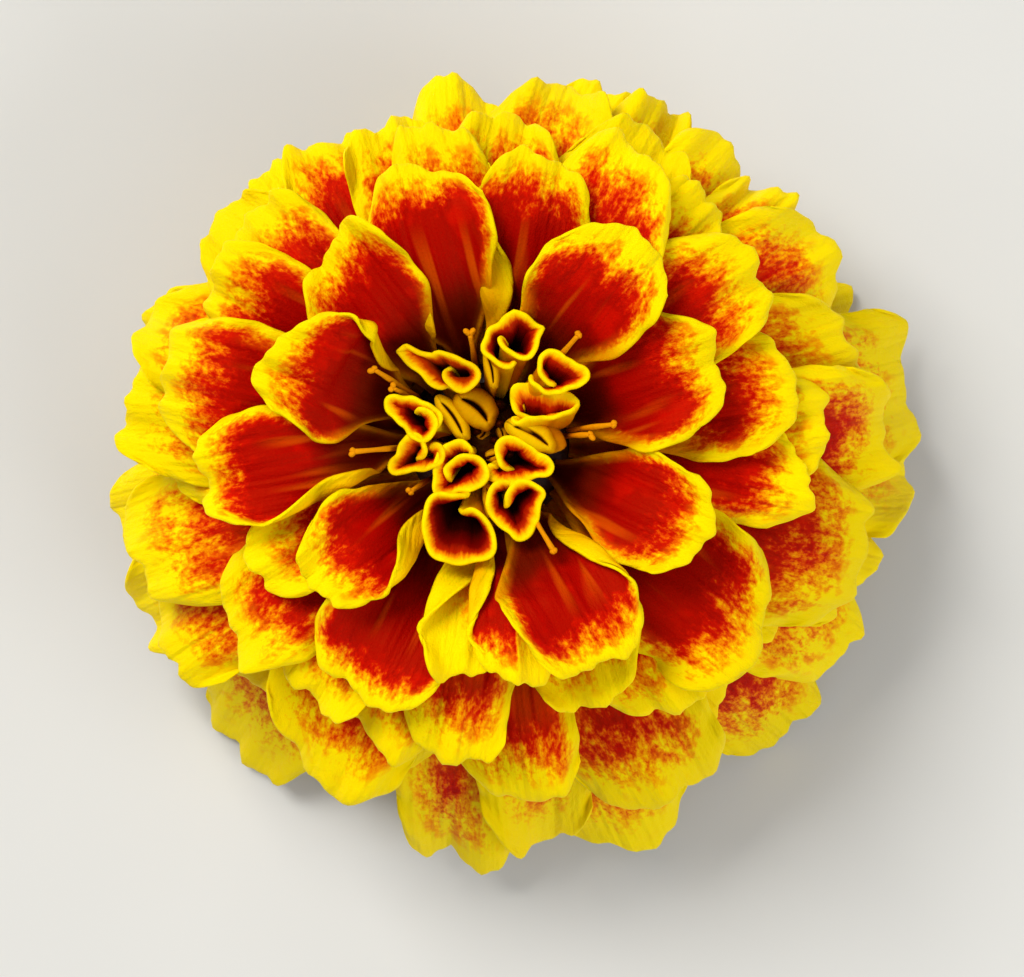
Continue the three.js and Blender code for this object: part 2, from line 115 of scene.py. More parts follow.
# The fine margin: notches of the tip, waves of the half width, and frills, pleats and a lip in the height.
TIP_POWERS = (2.8, 4.6)
TIP_SLANT = 0.12
TIP_NOTCHES = (0.014, 0.007, 0.004)
WIDTH_WAVES = (0.06, 0.035, 0.016, 0.009)
TIP_FRILL = (0.3, 0.16, 0.05)
SIDE_FRILL = 0.3
FRILL_LENGTH = 5.2
PLEAT = 0.1
LIP = 0.9
LIP_DROP = 0.17
RIM_ROUNDING = 0.26

# The folds of the inner row's standing edges: the flap's width, the turn's length and angle, the part of the
# length that folds, the reach below which petals fold, the azimuth of one that doesn't, and the angles at
# which an edge starts to fold and is folded in full.
FLAP = 2.1
FOLD_TIGHT = 0.7
FOLD_ANGLE = 152
FOLD_SPAN = (0.24, 0.93)
FOLDING_REACH = 20.5
UNFOLDED = (130,)
FOLD_EDGES = (32, 80)

# Settling: each petal is raised until it clears those below it.
LAYER = 0.9
STEEPEST = 0.55
MOST_LIFT = 8
SETTLE_CELLS = 8
SETTLE_ROUNDS = 14
NEIGHBOUR = 55

# The young florets of the centre stand in a bowl that the petals stay out of. The fine petals are thinner
# than the settled ones, so they come closer to its wall, each a little further out than the next one up.
BOWL_FLOOR = 19
BOWL_RIM = 27
BOWL_RADII = (4.2, 9)
BOWL_FLARE = 1.5
BOWL_WALL = 0.56
FINE_WALL = BOWL_WALL - 0.25
WALL_SHARPNESS = 2.2
ROW_GAP = 0.07


def chance(seed, salt):
    """A number from 0 to 1: the fraction of a large sine of the two seeds."""
    x = np.sin(seed * 12.9898 + salt * 78.233) * 43758.5453
    return x - np.floor(x)


def ease(x, low, high):
    """0 below low, 1 above high, and the cubic 3t^2 - 2t^3 between."""
    t = np.clip((x - low) / (high - low), 0, 1)
    return t * t * (3 - 2 * t)


def lerp(pair, share):
    """The value a share of the way from the first of a pair to the second."""
    return pair[0] + (pair[1] - pair[0]) * share


def outward(azimuth):
    """The level unit vector at an azimuth: cosine, sine, 0."""
    a = np.radians(azimuth)
    return np.stack([np.cos(a), np.sin(a), np.zeros_like(a)], -1)


def soft_least(a, b, sharpness=3.0):
    """A rounded minimum: minus the logarithm of the sum of falling exponentials."""
    return -np.log(np.exp(-sharpness * a) + np.exp(-sharpness * b)) / sharpness


def waves(x, seed, heights):
    """A sum of sines of x, each about twice as short as the one before, with seeded lengths and starts."""
    total = 0
    for n, height in enumerate(heights):
        often = 0.7 * 2.1**n * (0.8 + 0.4 * chance(seed, 30 + n))
        total = total + height * np.sin(TURN * (often * x + chance(seed, 40 + n)))
    return total


def wall_and_radius(points, gap):
    """The radius of the bowl's wall level with each point, moved by a gap, and the point's own radius. From
    the floor's to the rim's, the wall's grows with the height's share to the power 1.5."""
    share = np.clip((points[..., 2] - BOWL_FLOOR) / (BOWL_RIM - BOWL_FLOOR), 0, 1.15)
    radius = np.maximum(np.hypot(points[..., 0], points[..., 1]), 1e-6)
    return lerp(BOWL_RADII, share**BOWL_FLARE) + gap, radius


def keep_to(side, points, gap=BOWL_WALL):
    """Moves points level with the bowl's wall to its outside (1) or inside (-1), along their radius."""
    wall, radius = wall_and_radius(points, side * gap)
    wrong = (side * (radius - wall) < 0) & (points[..., 2] >= BOWL_FLOOR - 1)
    points[..., :2] *= np.where(wrong, wall / radius, 1)[..., None]
    return points


def ease_outside(points, gap):
    """Moves points out of the bowl without a crease: the radius becomes a rounded maximum of itself and the
    wall's, less and less below the floor."""
    wall, radius = wall_and_radius(points, gap)
    wanted = -soft_least(-radius, -wall, WALL_SHARPNESS)
    level = ease(points[..., 2], BOWL_FLOOR - 3, BOWL_FLOOR)
    points[..., :2] *= lerp((1, wanted / radius), level)[..., None]
    return points


def bezier(corners, t):
    """A cubic Bezier curve and its direction at t, from its four corners."""
    t = t[..., None]
    a, b, c, d = corners
    place = a * (1 - t) ** 3 + 3 * b * t * (1 - t) ** 2 + 3 * c * t**2 * (1 - t) + d * t**3
    slope = (b - a) * (1 - t) ** 2 + 2 * (c - b) * t * (1 - t) + (d - c) * t**2
    return place, slope / np.linalg.norm(slope, axis=-1, keepdims=True)


def even_curve(corners, share):
    """The same curve read at shares of its length, which is summed over 200 short chords."""
    t = np.linspace(0, 1, 201)
    run = np.cumsum(np.linalg.norm(np.diff(bezier(corners, t)[0], axis=0), axis=-1))
    run = np.concatenate([[0], run])
    return (*bezier(corners, np.interp(share, run / run[-1], t)), run[-1])


def bend(share, half_width, angle, flat):
    """A sheet bent to one side: level to the share `flat`, then a circular arc that ends at the angle."""
    angle = np.where(np.abs(angle) < 1e-3, 1e-3, angle)
    turned = angle * np.maximum(share - flat, 0) / (1 - flat)
    radius = half_width * (1 - flat) / angle
    across = half_width * np.minimum(share, flat) + radius * np.sin(turned)
    return across, radius * (1 - np.cos(turned))


def summed(run, angle):
    """A curve's places across and up from the run along it and its slope, summed over short steps from the
    grid's middle column."""
    step = np.diff(run, axis=1)
    slope = np.radians(angle[:, 1:] + angle[:, :-1]) / 2
    sums = np.zeros((2, *run.shape))
    sums[:, :, 1:] = np.cumsum([step * np.cos(slope), step * np.sin(slope)], axis=2)
    return sums - sums[:, :, run.shape[1] // 2, None]


def folded(u, v, half_width, trough, edge):
    """A petal's section and the flap that a standing edge folds back over it.

    The sheet is level near the middle line, then turns evenly up to the trough's angle at the half width. A
    standing edge goes on from there: a tight turn back over the petal, and a flap whose width is a sine of
    the place between the fold's ends. Gives the section without its flap, what the flap adds to it, the
    share of the half width, how far a point is folded over, the run along the section and the distance from
    the sheet's edge.
    """
    arch = np.sin(np.pi * np.clip((v - FOLD_SPAN[0]) / (FOLD_SPAN[1] - FOLD_SPAN[0]), 0, 1))
    least, most = FOLD_EDGES
    grown = np.clip((edge - least) / (most - least), 0, 1) * arch**1.2
    fold_at = half_width * (1 - 0.1 * grown)
    whole = fold_at + (0.8 * FOLD_TIGHT + FLAP) * grown
    run = np.abs(u) * whole
    hand = np.sign(u)
    share = np.minimum(run / fold_at, 1)
    turned = trough * np.clip((run / fold_at - 0.35) / 0.65, 0, 1)
    over = np.sqrt(arch) * np.clip(4 * grown, 0, 1) * ease(run - fold_at, -FOLD_TIGHT, FOLD_TIGHT)
    section = summed(hand * share * fold_at, hand * turned)
    flap = summed(hand * run, hand * (turned + FOLD_ANGLE * over)) - section
    return section, flap, share, over, hand * run, whole - run


def spine(reach, droop, seed, level):
    """The four corners of a petal's middle line in its upright plane: the root on the core, a handle along
    each end's slope, and the tip on the dome, or on a share of its height."""
    launch = np.radians(lerp(LAUNCH, level))
    slope = np.radians(lerp(TIP_SLOPE, level) + SLOPE_SPREAD * (chance(seed, 1) - 0.5))
    dome = DOME_TOP - DOME_FALL * reach**3 + DOME_SPREAD * (chance(seed, 2) - 0.5)
    root = np.array([ROOT_RADIUS, lerp(ROOT_HEIGHT, level)])
    tip = np.array([reach, TOUCH + droop * dome])
    chord = np.linalg.norm(tip - root)
    after_root = root + HANDLES[0] * chord * np.array([np.cos(launch), np.sin(launch)])
    before_tip = tip - HANDLES[1] * chord * np.array([np.cos(slope), np.sin(slope)])
    return root, after_root, before_tip, tip


def plan(u, v, width, level, seed, fine):
    """A petal laid flat: each point's share of the length, and the half width there.

    The half width eases from the claw's to the full one and tapers at the tip. The sides end before the
    middle does, by a power of the share across. With `fine` that power is the petal's own, the tip slants,
    uneven scallops cut into it, and the half width waves.
    """
    side = np.abs(u)
    taper = 1 - TIP_TAPER * np.clip((v - 0.7) / 0.3, 0, 1) ** 2
    half_width = (CLAW + (width / 2 - CLAW) * ease(v, 0.04, 0.74)) * taper
    if not fine:
        return v * (1 - TIP_ROUNDING * side**3.4 * v**2), half_width
    scallops = sum(TIP_NOTCHES) + waves(u, seed, TIP_NOTCHES)
    along = v * (1 - TIP_ROUNDING * side ** lerp(TIP_POWERS, chance(seed, 9)) * v**2)
    along = along * (1 + TIP_SLANT * (chance(seed, 10) - 0.5) * u * v**4)
    along = along * (1 - v**6 * (1 + 0.5 * level) * scallops)
    waved = waves(v, seed + 0.3 * np.sign(u), WIDTH_WAVES)
    return along, half_width * (1 + ease(v, 0.3, 0.6) * waved)


def petal_surface(petal, seed, droop, u, v, fine):
    """A petal's middle surface for u from the right edge, -1, to the left, 1, and v from root to tip.

    The middle line is a Bezier curve in an upright plane, and across it the sheet is a bent strip with the
    half width of its plan. Waves along the margin are sines. With `fine` the sides sway, the standing edges
    fold over, and frills, pleats and a dropped lip are added, all sines or powers of the two shares. Also
    gives the settling layer, the share of the half width, what a flap adds to each point, and a tuple of
    lengths: the run across the sheet and the distances from the side, the tip and the root.
    """
    azimuth, reach, width, left, right = (*petal, 0, 0)[:5]
    level = np.clip((reach - INNER_REACH) / (OUTER_REACH - INNER_REACH), 0, 1)
    hand = np.sign(u)
    side = np.abs(u)
    along, half_width = plan(u, v, width, level, seed, fine)
    centre, heading, length = even_curve(spine(reach, droop, seed, level), along)
    edge = np.where(u > 0, left, right)
    trough = lerp((lerp(TROUGH, level), lerp(FLARE, level)), ease(v, 0.3, 0.95))
    if fine:
        which = seed + 0.4 * hand
        sway = np.sin(TURN * ((1 + 0.5 * chance(which, 13)) * v + chance(which, 14)))
        trough = trough + lerp(SWAY, level) * sway * ease(v, 0.1, 0.4) * (1 - edge / 100)
        folds = edge * (reach < FOLDING_REACH and azimuth not in UNFOLDED)
        (across, rise), flap, side, over, run, from_side = folded(u, v, half_width, trough, folds)
    else:
        standing = edge * np.sin(np.pi * np.clip((v - 0.12) / 0.86, 0, 1))
        across, rise = bend(side, half_width, np.radians(trough + standing), 0.35 + edge / 400)
        across, flap, run, from_side = hand * across, (u * 0, u * 0), half_width * u, half_width * (1 - side)
    from_tip = length * (1 - v)
    phase = np.where(u > 0, chance(seed, 5), chance(seed, 6))
    side_wave = side**1.5 * v * np.sin(TURN * ((1.1 + 0.5 * chance(seed, 4)) * v + phase))
    tip_wave = v**3 * np.sin(TURN * (0.55 * u + chance(seed, 7)))
    rise = rise + lerp(RUFFLE, level) * (side_wave + tip_wave)
    if fine:
        frill = side**4 * ease(v, 0.25, 0.6) * np.sin(TURN * (length * v / FRILL_LENGTH + 2 * phase))
        tip_frill = ease(v, 0.7, 1) * waves(u, seed + 0.5, TIP_FRILL)
        pleats = ease(v, 0.2, 0.5) * (1 - side**4) * np.cos(TURN * (1.5 * u + 0.1 * chance(seed, 12)))
        rise = rise + SIDE_FRILL * frill + tip_frill + PLEAT * pleats
        margin = np.clip(1 - np.minimum(from_side, from_tip) / LIP, 0, 1)
        rise = rise - LIP_DROP * margin**2 * ease(v, 0.2, 0.5) * (1 - over)
    plane = outward(azimuth + SWEEP * (chance(seed, 3) - 0.5) * (1 - along))
    leftward = plane[..., [1, 0, 2]] * (-1, 1, 0)
    up = -plane * heading[..., 1:]
    up[..., 2] = heading[..., 0]
    points = plane * centre[..., :1] + leftward * across[..., None] + up * rise[..., None]
    points[..., 2] += centre[..., 1]
    flap = leftward * flap[0][..., None] + up * flap[1][..., None]
    layer = LAYER / np.maximum(heading[..., 0], STEEPEST)
    return points, layer, hand * side, flap, (run, from_side, from_tip, length * v)


def cell_corners(grid):
    """The four corners of every cell of a grid, first along its rows and then across."""
    return grid[:-1, :-1], grid[1:, :-1], grid[1:, 1:], grid[:-1, 1:]


def triangles_of(points):
    """The two triangles of each cell of a grid, as an array of corners."""
    a, b, c, d = cell_corners(points)
    return np.concatenate([np.stack(sides, 2).reshape(-1, 3, 3) for sides in ([a, d, c], [a, c, b])])


def needed_lifts(points, layer, triangles):
    """The least rise that brings each point a layer above every triangle under it or just over it.

    A point is level with a triangle where its weights for the triangle's sides, seen from above, are
    positive and sum to no more than 1, and the same weights give the triangle's height there.
    """
    a, e, f = triangles[:, 0], triangles[:, 1] - triangles[:, 0], triangles[:, 2] - triangles[:, 0]
    area = e[:, 0] * f[:, 1] - e[:, 1] * f[:, 0]
    area = np.where(np.abs(area) < 1e-9, 1e-9, area)
    x = points[..., 0].reshape(-1, 1) - a[:, 0]
    y = points[..., 1].reshape(-1, 1) - a[:, 1]
    first = (x * f[:, 1] - y * f[:, 0]) / area
    second = (e[:, 0] * y - e[:, 1] * x) / area
    height = a[:, 2] + first * e[:, 2] + second * f[:, 2]
    rise = height - points[..., 2].reshape(-1, 1) + layer.reshape(-1, 1)
    hit = (first >= 0) & (second >= 0) & (first + second <= 1) & (rise > 0) & (rise < MOST_LIFT)
    return np.where(hit, rise, 0).max(axis=1, initial=0).reshape(layer.shape)


def spread_lifts(needed):
    """A smooth field of lifts: the greatest need among neighbours, then rounds of the mean of the four
    neighbours, never below the need, and 0 along the root."""
    padded = np.pad(needed, 1)
    rows, columns = needed.shape
    least = np.max([padded[j : j + rows, i : i + columns] for j in range(3) for i in range(3)], axis=0)
    lifts = least
    for _ in range(SETTLE_ROUNDS):
        edged = np.pad(lifts, 1, mode="edge")
        mean = (edged[:-2, 1:-1] + edged[2:, 1:-1] + edged[1:-1, :-2] + edged[1:-1, 2:]) / 4
        lifts = np.maximum(least, mean)
        lifts[0] = 0
    return lifts


def cubic_weights(places, cells):
    """Weights of the knots 0 to `cells` at places from 0 to `cells`: cubic convolution, ends repeated."""
    knots = np.arange(-1, cells + 2)
    d = np.abs(places[..., None] - knots)
    near = 1.5 * d**3 - 2.5 * d**2 + 1
    far = -0.5 * d**3 + 2.5 * d**2 - 4 * d + 2
    weights = np.where(d < 1, near, np.where(d < 2, far, 0))
    weights[..., 1] += weights[..., 0]
    weights[..., -2] += weights[..., -1]
    return weights[..., 1:-1]


def smooth_outline(points, count):
    """A smooth curve through a few points: Catmull-Rom cubics, read at even steps."""
    points = np.asarray(points, float)
    cells = len(points) - 1
    return cubic_weights(np.linspace(0, cells, count), cells) @ points


def apart(first, second):
    """The angle between two azimuths, 0 to 180 degrees."""
    return abs((first - second + 540) % 360 - 180)


def settled_petals():
    """Every petal with its lifts on a grid of 8 by 8 cells, settled from the lowest to the topmost."""
    u, v = np.meshgrid(np.linspace(-1, 1, SETTLE_CELLS + 1), np.linspace(0, 1, SETTLE_CELLS + 1))
    settled = []
    for row, petal in ((row, petal) for row, petals in ROWS.items() for petal in petals):
        seed = len(settled) + 1
        points, layer, *_ = petal_surface(petal, seed, DROOP.get(row, 1), u, v, False)
        near = [s["triangles"] for s in settled if apart(petal[0], s["petal"][0]) < NEIGHBOUR]
        lifts = np.zeros_like(u)
        if near:
            lifts = spread_lifts(needed_lifts(points, layer, np.concatenate(near)) * ease(v, 0.02, 0.2))
        points[..., 2] = np.maximum(points[..., 2] + lifts, TOUCH)
        faces = triangles_of(keep_to(1, points))
        settled.append({"petal": petal, "row": row, "seed": seed, "lifts": lifts, "triangles": faces})
    return settled


def grid_normals(points):
    """Unit normals of a grid: the cross product of its two differences, along and across."""
    normal = np.cross(np.gradient(points, axis=0), np.gradient(points, axis=1))
    return normal / np.maximum(np.linalg.norm(normal, axis=-1, keepdims=True), 1e-9)


def sheet_shell(points, outline, thickness, fields, numbers):
    """A closed thin shell on a grid, with its paint's attributes.

    Front and back are the middle surface moved half the thickness along its normals. They share the points
    of the outline, and near it the thickness is a quarter ellipse of the distance. The faces of two opposite
    quarters start at their second corner, so that the grid's corner cells split through the corner itself.
    Fields change over the grid, and numbers are the same all over the shell.
    """
    short = 1 - np.clip(outline / RIM_ROUNDING, 0, 1)
    offset = grid_normals(points) * (thickness * np.sqrt(np.clip(1 - short**2, 0, 1)))[..., None] / 2
    rows, columns = outline.shape
    front = np.arange(rows * columns).reshape(rows, columns)
    inner = np.zeros((rows, columns), bool)
    inner[1:-1, 1:-1] = True
    back = front.copy()
    back[inner] = rows * columns + np.arange(inner.sum())
    corners = np.concatenate([(points + offset * inner[..., None]).reshape(-1, 3), (points - offset)[inner]])
    top = np.stack(cell_corners(front), -1)
    under = np.stack(cell_corners(back), -1)[..., [0, 3, 2, 1]]
    row, column = np.indices(top.shape[:2])
    turned = ((row < rows // 2) != (column < columns // 2))[..., None]
    faces = [np.where(turned, np.roll(side, -1, axis=-1), side).reshape(-1, 4) for side in (top, under)]
    attributes = {"facing": np.concatenate([np.ones(rows * columns), np.zeros(inner.sum())])}
    for key, values in fields.items():
        attributes[key] = np.concatenate([values.reshape(-1, *values.shape[2:]), values[inner]])
    for key, value in numbers.items():
        attributes[key] = np.full(len(corners), float(value))
    return corners, np.concatenate(faces), attributes


def flat_place(run, rise, seed, spread):
    """A sheet's own flat coordinates, moved by chance so that no two sheets have one pattern."""
    return np.stack([run + spread * chance(seed, 22), rise + spread * chance(seed, 23)], -1)


# How wide the yellow band is at the tip and at the side of a petal of each row.
TIP_BAND = {"resting": 7, "outermost": 7, "lower": 6, "outer": 5, "middle": 3.2, "inner": 2.1}
SIDE_BAND = {"resting": 2.4, "outermost": 2.4, "lower": 2, "outer": 1.7, "middle": 0.95, "inner": 0.62}
# Petals with a broader yellow band at the left or the right side, and how many times as broad it is.
GOLDEN_SIDES = {
    ("inner", 264): (10, 12),
    ("inner", 277): (8, 1.2),
    ("inner", 130): (1.6, 1),
    ("inner", 158): (1, 1.5),
}
# Cells across a petal, and how much they crowd towards its sides: a plain one, and one with standing edges.
ACROSS = (36, 1.6)
ACROSS_STANDING = (56, 1.2)
ALONG = (46, 1.5)


def petal_shell(entry, petals):
    """One petal as a shell, on a grid whose lines crowd towards the margin and the tip, with its paint's
    attributes: how far a point lies inside the yellow band, its share of the length and the petal's tint."""
    row, seed, petal = entry["row"], entry["seed"], entry["petal"]
    cells, crowding = ACROSS_STANDING if len(petal) > 3 else ACROSS
    x = np.linspace(-1, 1, cells + 1)
    line_u = np.sign(x) * (1 - (1 - np.abs(x)) ** crowding)
    line_v = 1 - (1 - np.linspace(0, 1, ALONG[0] + 1)) ** ALONG[1]
    u, v = np.meshgrid(line_u, line_v)
    points, _, share, flap, lengths = petal_surface(petal, seed, DROOP.get(row, 1), u, v, True)
    down = cubic_weights(line_v * SETTLE_CELLS, SETTLE_CELLS)
    over = cubic_weights((share + 1) / 2 * SETTLE_CELLS, SETTLE_CELLS)
    lifts = np.einsum("rk,rck->rc", down @ entry["lifts"], over)
    points[..., 2] = np.maximum(points[..., 2] + lifts, TOUCH)
    points = ease_outside(points, FINE_WALL + ROW_GAP * (petals - seed)) + flap
    run, from_side, from_tip, from_root = lengths
    outline = np.minimum(np.minimum(from_side, from_tip), from_root)
    tip_band = TIP_BAND[row] * (0.8 + 0.4 * chance(seed, 20))
    side_band = SIDE_BAND[row] * (0.8 + 0.4 * chance(seed, 21)) * (0.6 + 0.6 * v)
    side_band = side_band * np.where(share > 0, *GOLDEN_SIDES.get((row, petal[0]), (1, 1)))
    band = soft_least(from_side / side_band, from_tip / tip_band)
    fields = {"band": band, "along": v, "uv": flat_place(run, from_root, seed, 40)}
    return sheet_shell(points, outline, PETAL_THICKNESS, fields, {"tint": chance(seed, 24)})


def join(shells):
    """Several shells as one: their corners, faces and attributes end to end."""
    starts = np.cumsum([0] + [len(s[0]) for s in shells[:-1]])
    corners = np.concatenate([s[0] for s in shells])
    faces = np.concatenate([s[1] + start for s, start in zip(shells, starts)])
    return corners, faces, {key: np.concatenate([s[2][key] for s in shells]) for key in shells[0][2]}


def add_object(name, data):
    """A new object in the scene for a mesh, a lamp or a camera."""
    made = bpy.data.objects.new(name, data)
    bpy.context.scene.collection.objects.link(made)
    return made


def piece(name, shell, paint, node):
    """An object from a shell in millimetres about the flower's axis, with its attributes and its paint."""
    corners, faces, attributes = shell
    mesh = bpy.data.meshes.new(name)
    mesh.from_pydata(((corners + AXIS) / 1000).tolist(), [], faces.tolist())
    for key, values in attributes.items():
        if key == "uv":
            loops = np.empty(len(mesh.loops), np.int32)
            mesh.loops.foreach_get("vertex_index", loops)
            mesh.uv_layers.new(name="flat").uv.foreach_set("vector", values[loops].ravel())
        else:
            mesh.attributes.new(key, "FLOAT", "POINT").data.foreach_set("value", values)
    mesh.shade_smooth()
    mesh.materials.append(paint)
    made = add_object(name, mesh)
    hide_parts(node)
    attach(made, "root")


def srgb(red, green, blue):
    """A colour from 0 to 255 as seen on a screen, made linear."""
    c = np.array([red, green, blue]) / 255
    linear = np.where(c <= 0.04045, c / 12.92, ((c + 0.055) / 1.055) ** 2.4)
    return (*linear.tolist(), 1.0)


class Paint:
    """A shader tree with short calls for the nodes that the finishes use. Colours are given as sockets or as
    three screen values."""

    def __init__(self, tree, material=None):
        self.tree = tree
        self.material = material

    def add(self, kind, inputs=None, **settings):
        """A new node with its settings, and values or links in its inputs."""
        made = self.tree.nodes.new(kind)
        for key, value in settings.items():
            setattr(made, key, value)
        for key, value in (inputs or {}).items():
            if isinstance(value, bpy.types.NodeSocket):
                self.tree.links.new(value, made.inputs[key])
            else:
                made.inputs[key].default_value = value
        return made

    def math(self, operation, first, second, clamp=False):
        made = self.add("ShaderNodeMath", {0: first, 1: second}, operation=operation, use_clamp=clamp)
        return made.outputs[0]

    def plus(self, first, second):
        return self.math("ADD", first, second)

    def times(self, first, second):
        return self.math("MULTIPLY", first, second)

    def shift(self, value, low, high, to_low=0.0, to_high=1.0):
        """A value eased from one limit to the other, and held beyond them."""
        inputs = {"Value": value, 1: low, 2: high, 3: to_low, 4: to_high}
        return self.add("ShaderNodeMapRange", inputs, interpolation_type="SMOOTHSTEP").outputs[0]

    def ramp(self, value, stops, reach=1.0):
        """A colour from stops that lie at shares of the reach."""
        made = self.add("ShaderNodeValToRGB", {0: self.math("DIVIDE", value, reach, clamp=True)})
        elements = made.color_ramp.elements
        while len(elements) < len(stops):
            elements.new(0.5)
        for element, (place, *colour) in zip(elements, stops):
            element.position = place
            element.color = srgb(*colour)
        return made.outputs["Color"]

    def mix(self, share, first, second):
        first, second = (srgb(*c) if isinstance(c, tuple) else c for c in (first, second))
        return self.add("ShaderNodeMix", {0: share, 6: first, 7: second}, data_type="RGBA").outputs[2]

    def layer(self, under, colour, *shifts):
        """A colour laid over another, its share the product of several eased values."""
        share = self.shift(*shifts[0])
        for shift in shifts[1:]:
            share = self.times(share, self.shift(*shift))
        return self.mix(share, under, colour)

    def stretch(self, vector, scale):
        return self.add("ShaderNodeMapping", {"Vector": vector, "Scale": scale}).outputs[0]

    def noise(self, vector, scale, detail=2.0, stretch=(1, 1, 1)):
        inputs = {"Vector": self.stretch(vector, stretch), "Scale": scale, "Detail": detail, "Roughness": 0.6}
        return self.add("ShaderNodeTexNoise", inputs).outputs["Fac"]

    def centred(self, *noise):
        """A noise about 0."""
        return self.math("SUBTRACT", self.noise(*noise), 0.5)

    def attributes(self, *names):
        return [self.add("ShaderNodeAttribute", attribute_name=name).outputs["Fac"] for name in names]

    def flat(self):
        """A sheet's own flat coordinates, in millimetres."""
        return self.add("ShaderNodeUVMap", uv_map="flat").outputs[0]

    def place(self):
        """The part's coordinates and the height among them, in metres."""
        place = self.add("ShaderNodeTexCoord").outputs["Object"]
        return place, self.add("ShaderNodeSeparateXYZ", {0: place}).outputs["Z"]

    def finish(self, colour, roughness, height, distance, numbers):
        """The material, ended with one surface shader, its bump and the plain numbers on its own sockets."""
        bump = self.add("ShaderNodeBump", {"Strength": 1.0, "Distance": distance, "Height": height})
        inputs = {"Base Color": colour, "Roughness": roughness, "Normal": bump.outputs[0], **numbers}
        surface = self.add("ShaderNodeBsdfPrincipled", inputs)
        self.add("ShaderNodeOutputMaterial", {"Surface": surface.outputs[0]})
        return self.material


def new_paint(name):
    """The empty tree of a new material."""
    made = bpy.data.materials.new(name)
    made.use_nodes = True
    made.node_tree.nodes.clear()
    return Paint(made.node_tree, made)


def tissue_group():
    """Living tissue: a fine grain of cells and soft ribs along the length, as a height and a roughness."""
    tree = bpy.data.node_groups.new("Tissue", "ShaderNodeTree")
    tree.interface.new_socket("Vector", in_out="INPUT", socket_type="NodeSocketVector")
    for name, way in (("Ribs", "INPUT"), ("Roughness", "INPUT"), ("Height", "OUTPUT"), ("Rough", "OUTPUT")):
        tree.interface.new_socket(name, in_out=way, socket_type="NodeSocketFloat")
    paint = Paint(tree)
    given = paint.add("NodeGroupInput").outputs
    cells = paint.noise(given["Vector"], 9.0, 3.0, (1, 0.5, 1))
    ribs = paint.noise(given["Vector"], 1.6, 1.0, (1, 0.06, 1))
    height = paint.plus(paint.times(cells, 0.35), paint.times(ribs, given["Ribs"]))
    rough = paint.plus(given["Roughness"], paint.times(paint.math("SUBTRACT", cells, 0.5), 0.25))
    paint.add("NodeGroupOutput", {"Height": height, "Rough": rough})
    return tree


TISSUE = tissue_group()


def tissue(paint, vector, ribs, roughness):
    """The tissue group placed in a material, with its own ribs and roughness."""
    inputs = {"Vector": vector, "Ribs": ribs, "Roughness": roughness}
    made = paint.add("ShaderNodeGroup", inputs, node_tree=TISSUE)
    return made.outputs["Height"], made.outputs["Rough"]


DEEP_RED = (166, 0, 0)
RED = (196, 8, 0)
FLAME = (222, 72, 0)
ORANGE = (240, 130, 0)
AMBER = (250, 176, 0)
YELLOW = (255, 222, 0)
OCHRE = (206, 116, 0)
# A tinted shine on all that is red or golden, and light under the skin of petals and florets.
WARM = {"Specular Tint": (1.0, 0.62, 0.1, 1.0)}
SKIN = {"Subsurface Weight": 0.12, "Subsurface Scale": 0.001}
# The noises that break up the change from red to yellow, from fine to broad: how many spots in a millimetre,
# how many finer layers, how far they are drawn out, and how far they move the change, in band widths.
SPECKLES = [(3.6, 4.0, 0.55, 2.2), (1.3, 1.0, 0.4, 1.5), (0.4, 2.0, 0.6, 2.2)]
# The change of colour from the margin inwards, at shares of three band widths.
BLEND = 3.0
PETAL_STOPS = [
    (0.16, *YELLOW), (0.26, *AMBER), (0.35, *ORANGE), (0.44, *FLAME), (0.53, *RED), (0.7, *DEEP_RED),
]


